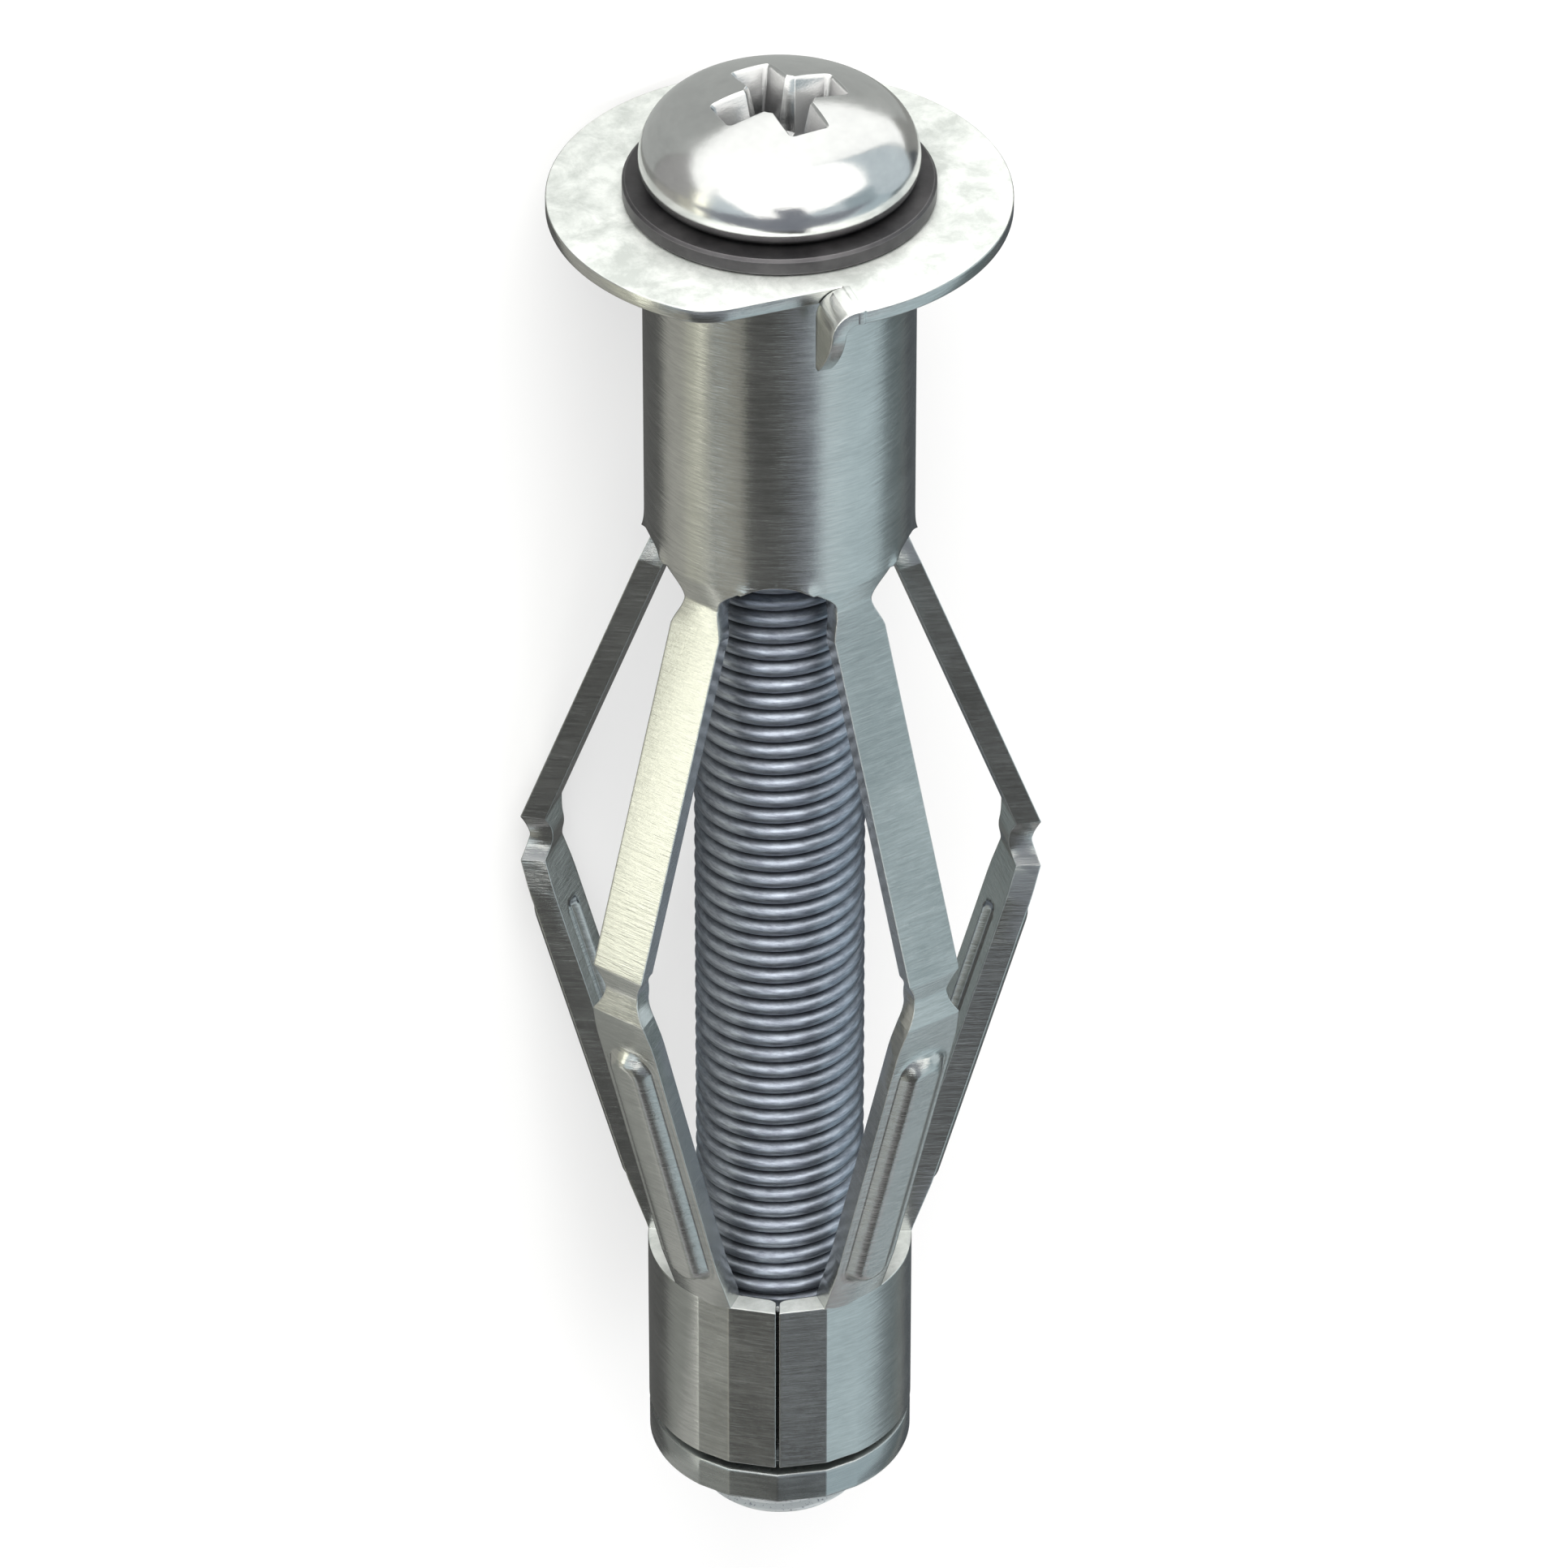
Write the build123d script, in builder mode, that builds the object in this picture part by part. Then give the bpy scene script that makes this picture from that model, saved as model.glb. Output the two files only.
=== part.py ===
"""Metal hollow wall anchor: a folded sleeve with five bowed legs, a captive nut, a washer and a screw.

Each piece is shaped upright, with its axis along local Z: heights grow from the flange's bearing
face at zero to the tip, and angles turn from the first leg. It is then laid down as it comes to
rest: the axis runs along +Y from the flange to the tip, the first leg points straight up, and two
knees stand below. The origin is on the axis, in the bearing face. Lengths are in millimetres.
"""
from math import asin, atan2, cos, degrees, hypot, pi, radians, sin, sqrt
import os

from build123d import *

# Sheet of the collar, legs and band
wall = 1.05

# Flange and collar
flange_diameter = 20.0
flange_thickness = 0.65
collar_diameter = 11.8
collar_length = 16.25
mouth_bevel = 0.4
root_bevel = 0.25

# Arched windows between the legs, at the collar's end
arch_radius = 2.6
arch_rise = 0.5
arch_depth = 0.8

# Claws that grip the board
claw_count = 2
claw_angle = 15.5
claw_cut_angle = 37.5
claw_inner_radius = 7.87
claw_gap = 0.05
claw_bend_radius = 0.55
claw_depth = 3.15
claw_tip_width = 0.27
claw_tip_round = 0.1
claw_edge_bow = 0.3
notch_corner_radius = 3.0

# Legs: folds at the neck, the knee and the foot
leg_count = 5
fold_steps = 4
neck_length = 2.45
neck_width = 1.83
neck_dip = 0.35
shoulder_rise = 0.2
upper_leg_width = 2.65
knee_radius = 11.8
knee_height = 33.75
knee_length = 2.35
knee_width = 1.75
knee_dip = 0.3
shin_start_width = 2.75
shin_width = 3.15
shin_flare_length = 1.5
foot_sink = 0.04
foot_length = 0.3

# Stiffening rib on each lower leg
rib_width = 2.35
rib_height = 0.5
rib_bevel = 0.3
rib_top_margin = 2.2
rib_foot_margin = 1.65
groove_width = 1.3
groove_depth = 0.4

# Band round the nut
band_diameter = 12.0
band_height = 55.15
band_length = 8.9
slit_angle = 36.0
slit_width = 0.15
slit_inner_radius = 0.5
slit_bevel = 0.06
facet_angles = (22.0, 37.0)

# Nut
nut_fit = 0.04
nut_body_start = 0.55
nut_ring_gap = 0.42
nut_ring_thickness = 1.63
nut_ring_diameter = 11.96
nut_edge = 0.12
thread_fit = 0.05
thread_chamfer = 0.4

# Screw
screw_diameter = 7.6
screw_overhang = 2.55
tip_chamfer = 0.36
head_diameter = 12.08
head_height = 4.29
head_base_radius = 5.35
head_belly_height = 0.95
head_shoulder_radius = 2.5
recess_span = 5.6
recess_arm_width = 1.7
recess_hub_diameter = 2.9
recess_depth = 3.2
recess_taper = 9.0
recess_angle = 8.0

# Washer
washer_diameter = 13.46
washer_thickness = 0.8
washer_bore = 8.4
washer_edge = 0.12
seat_gap = 0.03

# Values that follow from the sizes above
rim_radius = flange_diameter / 2
collar_radius = collar_diameter / 2
band_radius = band_diameter / 2
band_bore_radius = band_radius - wall
screw_radius = screw_diameter / 2
head_radius = head_diameter / 2
leg_pitch = 360 / leg_count
flange_front = -flange_thickness
washer_back = flange_front - seat_gap
washer_front = washer_back - washer_thickness
head_base = washer_front - seat_gap
head_top = head_base - head_height
band_end = band_height + band_length
ring_start = band_end + nut_ring_gap
nut_start = band_height + nut_body_start
nut_end = ring_start + nut_ring_thickness
thread_radius = screw_radius + thread_fit
screw_end = nut_end + screw_overhang
lying = Plane(origin=(0, 0, 0), x_dir=(0, 0, 1), z_dir=(0, 1, 0))

os.makedirs("parts", exist_ok=True)


def direction(angle):
    """The level unit vector at one angle from the first leg."""
    return (cos(radians(angle)), sin(radians(angle)), 0)


def radial_plane(angle, distance):
    """An upright plane square to the radius at one angle: local x runs sideways, local y runs up."""
    return Plane(origin=(0, 0, 0), x_dir=direction(angle + 90), z_dir=direction(angle)).offset(distance)


def fold(start, end, start_width, end_width, dip, waist):
    """Stations over a fold: the sheet dips inwards and narrows to a round waist in the middle."""
    places = []
    for step in range(fold_steps + 1):
        share = step / fold_steps
        depth = sin(pi * share) ** 2
        radius = start[0] + (end[0] - start[0]) * share - dip * depth
        height = start[1] + (end[1] - start[1]) * share
        width = start_width + (end_width - start_width) * share
        places.append((radius, height, width + (waist - width) * sin(pi * share)))
    return places


def strip_section(before, here, after, sheet):
    """A leg's section at one station: part of a ring, on the plane halfway between its two slopes."""
    slope_before = atan2(here[0] - before[0], here[1] - before[1])
    slope_after = atan2(after[0] - here[0], after[1] - here[1])
    slope = (slope_before + slope_after) / 2
    thickness = sheet / cos((slope_before - slope_after) / 2)
    half_angle = degrees(asin(here[2] / 2 / collar_radius))
    across = Plane(origin=(here[0], 0, here[1]), x_dir=(cos(slope), 0, -sin(slope)),
                   z_dir=(sin(slope), 0, cos(slope)))
    with BuildSketch(across) as section:
        with BuildLine():
            centre = (-collar_radius, 0)
            outer = CenterArc(centre, collar_radius, -half_angle, 2 * half_angle)
            inner = CenterArc(centre, collar_radius - thickness, -half_angle, 2 * half_angle)
            Line(outer @ 0, inner @ 0)
            Line(outer @ 1, inner @ 1)
        make_face()
    return section.sketch


def level_section(here, sheet):
    """A leg's section square to the axis, where the strip meets the collar or the band."""
    return strip_section((here[0], here[1] - sheet), here, (here[0], here[1] + sheet), sheet)


def faceted_disc(diameter):
    """A round disc with short flats beside the slit."""
    sides = [-angle for angle in reversed(facet_angles)] + [0.0] + list(facet_angles)
    corners = [Vector(*direction(slit_angle + angle)) * (diameter / 2) for angle in sides]
    back = Vector(*direction(slit_angle + 180)) * (diameter / 2)
    with BuildSketch() as disc:
        with BuildLine():
            Polyline(*corners)
            ThreePointArc(corners[-1], back, corners[0])
        make_face()
    return disc.sketch


# One notch in the flange, cut straight from the rim to the claw's bend
cut_end = (rim_radius * cos(radians(claw_cut_angle)), rim_radius * sin(radians(claw_cut_angle)))
with BuildPart() as notch:
    with BuildSketch(Plane(origin=(0, 0, flange_front), x_dir=direction(claw_angle), z_dir=(0, 0, 1))):
        with BuildLine():
            Polyline(
                (claw_inner_radius, 0),
                cut_end,
                (2 * cut_end[0], 2 * cut_end[1]),
                (2 * rim_radius, 0),
                close=True,
            )
        make_face()
    extrude(amount=flange_thickness)

# Flange and collar: one turned profile, notched, with the corners where the cuts leave the rim rounded
with BuildPart() as collar:
    with BuildSketch(Plane.XZ):
        with BuildLine():
            Polyline(
                (collar_radius - wall, flange_front),
                (rim_radius, flange_front),
                (rim_radius, 0),
                (collar_radius, 0),
                (collar_radius, collar_length),
                (collar_radius - wall, collar_length),
                close=True,
            )
        profile = make_face()
        mouth = profile.vertices().sort_by_distance((collar_radius - wall, 0, flange_front))[0]
        root = profile.vertices().sort_by_distance((collar_radius, 0, 0))[0]
        chamfer(mouth, mouth_bevel)
        chamfer(root, root_bevel)
    revolve(axis=Axis.Z)
    with PolarLocations(0, claw_count):
        add(notch.part, mode=Mode.SUBTRACT)
    for claw_number in range(claw_count):
        corner_angle = claw_angle + claw_cut_angle + claw_number * 360 / claw_count
        corner = Vector(*direction(corner_angle)) * rim_radius
        fillet(collar.edges().filter_by(Axis.Z).sort_by_distance(corner)[0], notch_corner_radius)

# One claw: the notch's tongue, bent towards the board and trimmed to a fin
claw_outer_bend = claw_bend_radius + flange_thickness
claw_root_radius = claw_inner_radius + claw_gap
with BuildPart() as claw:
    with BuildSketch(radial_plane(claw_angle, claw_root_radius)):
        with BuildLine():
            Line((0, flange_front), (0, 0))
            CenterArc((0, claw_bend_radius), claw_bend_radius, -90, 90)
            Polyline(
                (claw_bend_radius, claw_bend_radius),
                (claw_bend_radius, claw_depth),
                (claw_outer_bend, claw_depth),
                (claw_outer_bend, claw_bend_radius),
            )
            CenterArc((0, claw_bend_radius), claw_outer_bend, -90, 90)
        make_face()
    extrude(amount=rim_radius - claw_root_radius)
    with BuildSketch(Plane(origin=(0, 0, 0), x_dir=direction(claw_angle), z_dir=direction(claw_angle - 90))):
        with BuildLine():
            side = Polyline(
                (rim_radius, claw_bend_radius),
                (rim_radius, flange_front),
                (claw_root_radius, flange_front),
                (claw_root_radius, claw_depth),
                (claw_root_radius + claw_tip_width, claw_depth),
            )
            SagittaArc(side @ 1, side @ 0, claw_edge_bow)
        fin = make_face()
        fillet(fin.vertices().group_by(Axis.Z)[-1], claw_tip_round)
    extrude(amount=2 * claw_outer_bend, both=True, mode=Mode.INTERSECT)

# One leg: a ruled strip through the stations of its folds, with its rib and the rib's hollow side
neck_start = (collar_radius, collar_length)
shoulder = (collar_radius + shoulder_rise, collar_length + neck_length)
knee_start = (knee_radius, knee_height)
shin_start = (knee_radius, knee_height + knee_length)
foot = (band_radius + foot_sink, band_height)
tenon = (band_radius - foot_sink, band_height + foot_length)
arch_half_angle = degrees(asin(sqrt(arch_radius**2 - (arch_radius - arch_rise) ** 2) / collar_radius))
petal_width = 2 * collar_radius * sin(radians(leg_pitch / 2 - arch_half_angle))
shin_length = hypot(foot[0] - shin_start[0], foot[1] - shin_start[1])
flare_share = shin_flare_length / shin_length
flare = (shin_start[0] + (foot[0] - shin_start[0]) * flare_share,
         shin_start[1] + (foot[1] - shin_start[1]) * flare_share)
stations = fold(neck_start, shoulder, petal_width, upper_leg_width, neck_dip, neck_width)
stations += fold(knee_start, shin_start, upper_leg_width, shin_start_width, knee_dip, knee_width)
stations += [(*flare, shin_width), (*foot, shin_width)]
strips = zip(stations, stations[1:], stations[2:] + [(band_radius, band_end)])
sections = [level_section(stations[0], wall)]
sections += [strip_section(before, here, after, wall) for before, here, after in strips]
sections += [level_section((*tenon, shin_width), wall - 2 * foot_sink)]

shin_slope = atan2(foot[0] - shin_start[0], foot[1] - shin_start[1])
shin_face = Plane(origin=(shin_start[0], 0, shin_start[1]), x_dir=(sin(shin_slope), 0, cos(shin_slope)),
                  z_dir=(cos(shin_slope), 0, -sin(shin_slope)))
rib_length = shin_length - rib_top_margin - rib_foot_margin
rib_middle = rib_top_margin + rib_length / 2
with BuildPart() as leg:
    loft(sections, ruled=True)
    with BuildSketch(shin_face.offset(-wall / 2)):
        with Locations((rib_middle, 0)):
            SlotOverall(rib_length, rib_width)
    extrude(amount=wall / 2 + rib_height)
    rib_top = leg.faces().filter_by(GeomType.PLANE).sort_by_distance(
        shin_face.offset(rib_height).from_local_coords((rib_middle, 0, 0)))[0]
    chamfer(rib_top.edges(), rib_bevel)
    with BuildSketch(shin_face.offset(-wall + groove_depth)):
        with Locations((rib_middle, 0)):
            SlotOverall(rib_length - rib_width + groove_width, groove_width)
    extrude(amount=-wall, mode=Mode.SUBTRACT)

# One arched window, cut between two legs
with BuildPart() as window:
    with BuildSketch(radial_plane(leg_pitch / 2, collar_radius - 2 * wall)):
        with BuildLine():
            arch_centre = (0, collar_length - arch_rise + arch_radius)
            arch_drop = degrees(asin((arch_radius - arch_rise - arch_depth) / arch_radius))
            arch = CenterArc(arch_centre, arch_radius, 180 + arch_drop, 180 - 2 * arch_drop)
            Line(arch @ 0, arch @ 1)
        make_face()
    extrude(amount=4 * wall)

# The band: a faceted ring with a slit whose edges turn inwards
with BuildPart() as band:
    with BuildSketch(Plane.XY.offset(band_height)):
        add(faceted_disc(band_diameter))
        Circle(band_bore_radius, mode=Mode.SUBTRACT)
    extrude(amount=band_length)
    with BuildSketch(Plane(origin=(0, 0, band_height), x_dir=direction(slit_angle), z_dir=(0, 0, 1))):
        with Locations((band_radius - wall / 2, 0)):
            Rectangle(2 * wall, slit_width)
    extrude(amount=band_length, mode=Mode.SUBTRACT)
    band_middle = Vector(0, 0, band_height + band_length / 2)
    slit_inside = band_middle + Vector(*direction(slit_angle)) * band_bore_radius
    fillet(band.edges().filter_by(Axis.Z).sort_by_distance(slit_inside)[:2], slit_inner_radius)
    slit_outside = band_middle + Vector(*direction(slit_angle)) * band_radius
    chamfer(band.edges().filter_by(Axis.Z).sort_by_distance(slit_outside)[:2], slit_bevel)

# The sleeve: the whole folded sheet
with BuildPart() as folded:
    add(collar.part)
    with PolarLocations(0, claw_count):
        add(claw.part)
    with PolarLocations(0, leg_count):
        add(leg.part)
    with PolarLocations(0, leg_count):
        add(window.part, mode=Mode.SUBTRACT)
    add(band.part)

with BuildPart(lying) as sleeve:
    add(folded.part)
sleeve.part.label = "sleeve"
export_step(sleeve.part, "parts/sleeve.step")

# The nut: a body that fits the band and a ring that stops it
with BuildPart() as turned_nut:
    with BuildSketch(Plane.XY.offset(ring_start + nut_edge)):
        add(faceted_disc(nut_ring_diameter))
    extrude(amount=nut_ring_thickness - 2 * nut_edge)
    extrude(turned_nut.faces().sort_by(Axis.Z)[-1], amount=nut_edge, taper=45)
    extrude(turned_nut.faces().sort_by(Axis.Z)[0], amount=nut_edge, taper=45)
    with BuildSketch(Plane.XY.offset(ring_start)):
        Circle(band_bore_radius - nut_fit)
    extrude(amount=nut_start - ring_start)
    with BuildSketch(Plane.XZ):
        with BuildLine():
            Polyline(
                (0, nut_start),
                (thread_radius + thread_chamfer, nut_start),
                (thread_radius, nut_start + thread_chamfer),
                (thread_radius, nut_end - thread_chamfer),
                (thread_radius + thread_chamfer, nut_end),
                (0, nut_end),
                close=True,
            )
        make_face()
    revolve(axis=Axis.Z, mode=Mode.SUBTRACT)

with BuildPart(lying) as nut:
    add(turned_nut.part)
nut.part.label = "nut"
export_step(nut.part, "parts/nut.step")

# The screw: a domed head over a long shank
belly_height = head_base - head_belly_height
dome_height = belly_height - head_top
shoulder_centre = head_radius - head_shoulder_radius
crown_radius = ((shoulder_centre**2 + dome_height**2 - head_shoulder_radius**2)
                / (2 * (dome_height - head_shoulder_radius)))
crown_share = crown_radius / (crown_radius - head_shoulder_radius)
crown_centre = head_top + crown_radius
crown_edge = (shoulder_centre * crown_share, crown_centre + (belly_height - crown_centre) * crown_share)
with BuildPart() as turned_screw:
    with BuildSketch(Plane.XZ):
        with BuildLine():
            TangentArc((0, head_top), crown_edge, tangent=(1, 0))
            TangentArc((head_radius, belly_height), crown_edge, tangent=(0, -1))
            Line((head_radius, belly_height), (head_base_radius, head_base))
            Polyline(
                (head_base_radius, head_base),
                (screw_radius, head_base),
                (screw_radius, screw_end - tip_chamfer),
                (screw_radius - tip_chamfer, screw_end),
                (0, screw_end),
                (0, head_top),
            )
        make_face()
    revolve(axis=Axis.Z)
    with BuildSketch(Plane(origin=(0, 0, head_top), x_dir=direction(recess_angle), z_dir=(0, 0, 1))):
        Rectangle(recess_span, recess_arm_width)
        Rectangle(recess_arm_width, recess_span)
        Circle(recess_hub_diameter / 2)
    extrude(amount=recess_depth, taper=recess_taper, mode=Mode.SUBTRACT)

with BuildPart(lying) as screw:
    add(turned_screw.part)
screw.part.label = "screw"
export_step(screw.part, "parts/screw.step")

# The washer, between the flange and the head
with BuildPart() as turned_washer:
    with BuildSketch(Plane.XY.offset(washer_front)):
        Circle(washer_diameter / 2)
        Circle(washer_bore / 2, mode=Mode.SUBTRACT)
    extrude(amount=washer_thickness)
    outer_edges = [edge for edge in turned_washer.edges().filter_by(GeomType.CIRCLE)
                   if edge.radius > washer_bore / 2 + washer_edge]
    chamfer(outer_edges, washer_edge)

with BuildPart(lying) as washer:
    add(turned_washer.part)
washer.part.label = "washer"
export_step(washer.part, "parts/washer.step")
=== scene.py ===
"""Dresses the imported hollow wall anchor: threads the screw, finishes the zinc and sets the stage."""
from math import asin, atan2, cos, exp, hypot, pi, radians, sin, sqrt, tan

import bmesh
import bpy
from bpy.props import FloatProperty, FloatVectorProperty, IntProperty, PointerProperty
from mathutils import Matrix, Vector


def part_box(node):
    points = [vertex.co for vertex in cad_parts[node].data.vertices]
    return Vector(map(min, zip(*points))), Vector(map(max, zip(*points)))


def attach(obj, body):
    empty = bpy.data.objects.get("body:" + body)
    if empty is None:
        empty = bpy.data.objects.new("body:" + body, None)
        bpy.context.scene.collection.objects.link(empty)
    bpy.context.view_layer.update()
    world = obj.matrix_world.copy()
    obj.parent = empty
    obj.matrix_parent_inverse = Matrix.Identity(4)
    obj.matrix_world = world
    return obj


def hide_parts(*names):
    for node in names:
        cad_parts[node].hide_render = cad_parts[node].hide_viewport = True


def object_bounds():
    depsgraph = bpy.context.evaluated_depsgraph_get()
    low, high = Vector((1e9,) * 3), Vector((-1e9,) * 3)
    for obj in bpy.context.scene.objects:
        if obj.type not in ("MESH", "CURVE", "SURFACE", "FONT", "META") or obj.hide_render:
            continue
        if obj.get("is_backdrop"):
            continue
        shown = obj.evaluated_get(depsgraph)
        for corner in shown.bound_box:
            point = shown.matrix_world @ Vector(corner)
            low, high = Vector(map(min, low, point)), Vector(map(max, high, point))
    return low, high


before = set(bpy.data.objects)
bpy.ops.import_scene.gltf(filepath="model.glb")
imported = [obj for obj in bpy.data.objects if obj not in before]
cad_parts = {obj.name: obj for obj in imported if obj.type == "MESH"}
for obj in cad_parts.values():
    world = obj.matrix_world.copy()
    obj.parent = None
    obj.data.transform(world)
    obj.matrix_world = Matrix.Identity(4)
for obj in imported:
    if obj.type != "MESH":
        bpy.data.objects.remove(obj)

bl_info = {
    "name": "Hollow wall anchor",
    "version": (1, 0, 0),
    "blender": (4, 5, 0),
    "location": "View3D > Sidebar > Anchor",
    "description": "Finishes a packed hollow wall anchor and lays it on a studio floor",
    "category": "Add Mesh",
}

CAD_BOX = [list(corner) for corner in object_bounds()]
SCREW_LOW, SCREW_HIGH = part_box("screw")
WASHER_LOW, WASHER_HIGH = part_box("washer")
MM = 0.001
LEGS = 5
CLAWS = 2
ROUND_STEPS = 96
CREASE_STEP = 0.05 * MM
CLAW_SKIN = 0.004 * MM
BARB_PLACE = radians(2)
BARB_SPREAD = radians(3.2)
PART_MIDDLE = Vector((0, 0.03, 0))

# How all lengths, and all colours, are shown in the sidebar
LENGTH = {"unit": "LENGTH", "precision": 5}
COLOUR = {"subtype": "COLOR", "min": 0, "max": 1}

# Radii in millimetres of a leg's bends on its two skins, from the petal to the foot
OUTER_BENDS = (0.5, 0.35, 2.0, 0.16, 0.5, 0.16)
INNER_BENDS = (0.2, 1.4, 0.95, 0.1, 1.55, 0.1)

# Where rows cut the lower leg: close together at both ends of its rib
SHIN_SHARES = [
    0.03, 0.06, *(0.09 + 0.006 * i for i in range(17)), *(0.21 + 0.04 * i for i in range(16)),
    *(0.825 + 0.006 * i for i in range(15)), 0.935, 0.965]

# Where columns cut half a leg: close together at the rib's sides
LEG_COLUMNS = [0.0, 0.14, 0.28, 0.38, 0.46, 0.54, 0.61, 0.67, 0.71, 0.74, 0.77, 0.81, 0.845, 0.88, 0.94, 1.0]

# Shares of their half widths over which the rib, its step line and its hollow side rise
RIB_EDGE, STEP_EDGE, GROOVE_EDGE = 0.55, 0.06, 0.5

# Cards round the part: azimuth and elevation in degrees, distance, width, height and colour
CARDS = (
    ("white_front", 14, 46, 0.6, 1.5, 0.98, (1.9, 1.9, 1.85)),
    ("mid_front", 14, -7, 0.6, 1.1, 0.24, (0.28, 0.3, 0.34)),
    ("dark_front", -10, -38, 0.6, 0.74, 0.46, (0.1, 0.1, 0.097)),
    ("olive_left", -49, -38, 0.6, 0.34, 0.46, (0.4, 0.39, 0.345)),
    ("dark_step", 0, -66, 0.56, 0.46, 0.1, (0.08, 0.08, 0.08)),
    ("cool_right", 66, 4, 0.56, 0.26, 0.28, (0.42, 0.52, 0.56)),
    ("cool_low", 72, -35, 0.6, 0.74, 0.4, (0.57, 0.69, 0.74)),
    ("dusk_right", 119, -35, 0.6, 0.4, 0.5, (0.15, 0.185, 0.195)),
    ("grey_below", 0, -86, 0.6, 0.6, 0.5, (0.42, 0.41, 0.42)),
    ("band_right", 101, -45.5, 0.114, 0.089, 0.022, (0.26, 0.3, 0.32)),
)

# Cards just above the floor: two corners and colour
FLOOR_CARDS = (
    ("cream_left", (0.055, -0.06), (0.3, 0.038), (2.15, 2.13, 1.78)),
    ("soft_near", (0.026, 0.0), (0.0545, 0.038), (0.62, 0.615, 0.52)),
    ("soft_under", (0.0117, 0.0), (0.0258, 0.048), (0.44, 0.435, 0.4)),
    ("soft_left", (0.036, 0.0385), (0.3, 0.062), (0.55, 0.545, 0.47)),
    ("rib_light", (0.04, 0.0625), (0.08, 0.096), (1.3, 1.3, 1.2)),
    ("band_light", (0.006, 0.0755), (0.0395, 0.1), (0.47, 0.47, 0.445)),
    ("flat_left", (0.09, 0.11), (0.5, 0.4), (0.24, 0.24, 0.225)),
    ("dark_left", (-0.006, 0.002), (0.0115, 0.075), (0.12, 0.12, 0.117)),
    ("dark_right", (-0.3, 0.012), (-0.012, 0.12), (0.1, 0.11, 0.12)),
    ("grey_head", (0.0115, -0.0175), (0.0395, -0.0007), (0.45, 0.45, 0.44)),
    ("white_back", (-0.034, -0.0175), (0.011, -0.0007), (0.52, 0.54, 0.52)),
    ("white_far", (-0.6, -0.9), (0.6, -0.018), (1.6, 1.62, 1.58)),
)


class ScrewSizes(bpy.types.PropertyGroup):
    """Sizes of the screw's head, recess and thread."""

    crest_diameter: FloatProperty(
        name="Crest diameter", description="Outside diameter of the thread", default=7.6 * MM, **LENGTH)
    pitch: FloatProperty(
        name="Pitch", description="Distance between neighbouring crests", default=0.8697 * MM, **LENGTH)
    thread_depth: FloatProperty(
        name="Thread depth", description="Height from root to crest", default=0.5 * MM, **LENGTH)
    crest_share: FloatProperty(
        name="Crest share", description="Share of the pitch that the rounded crest takes",
        default=0.58, min=0.1, max=0.8, subtype="FACTOR")
    first_crest: FloatProperty(
        name="First crest", description="Height of one crest on the side that faces the camera",
        default=17.28 * MM, **LENGTH)
    tip_bevel: FloatProperty(
        name="Tip bevel", description="Bevel at the screw's end", default=0.36 * MM, **LENGTH)
    head_diameter: FloatProperty(
        name="Head diameter", description="Diameter of the head at its widest",
        default=SCREW_HIGH.z * 2, **LENGTH)
    seat_gap: FloatProperty(
        name="Seat gap", description="Gap between the washer and the head", default=0.03 * MM, **LENGTH)
    base_radius: FloatProperty(
        name="Base radius", description="Radius of the head where it meets the washer",
        default=5.35 * MM, **LENGTH)
    belly_height: FloatProperty(
        name="Belly height", description="Height of the head's widest ring above the washer",
        default=0.95 * MM, **LENGTH)
    shoulder_radius: FloatProperty(
        name="Shoulder radius", description="Radius of the curve between the belly and the crown",
        default=2.5 * MM, **LENGTH)
    recess_span: FloatProperty(
        name="Recess span", description="Width across the recess from arm to arm",
        default=5.6 * MM, **LENGTH)
    recess_arm_width: FloatProperty(
        name="Recess arm width", description="Width of one arm of the recess at its mouth",
        default=1.7 * MM, **LENGTH)
    recess_hub: FloatProperty(
        name="Recess hub", description="Diameter of the round middle of the recess",
        default=2.9 * MM, **LENGTH)
    recess_depth: FloatProperty(
        name="Recess depth", description="Depth of the recess at the middle", default=3.2 * MM, **LENGTH)
    recess_taper: FloatProperty(
        name="Recess taper", description="Slope of the recess walls", default=radians(9), subtype="ANGLE")
    recess_turn: FloatProperty(
        name="Recess turn", description="Angle of the recess round the axis, from the first leg",
        default=radians(8), subtype="ANGLE")
    rim_bevel: FloatProperty(
        name="Rim bevel", description="Width of the pressed bevel round the recess",
        default=0.16 * MM, **LENGTH)
    steps_per_turn: IntProperty(
        name="Steps per turn", description="Faces round one turn of the thread",
        default=72, min=24, max=144)


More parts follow.
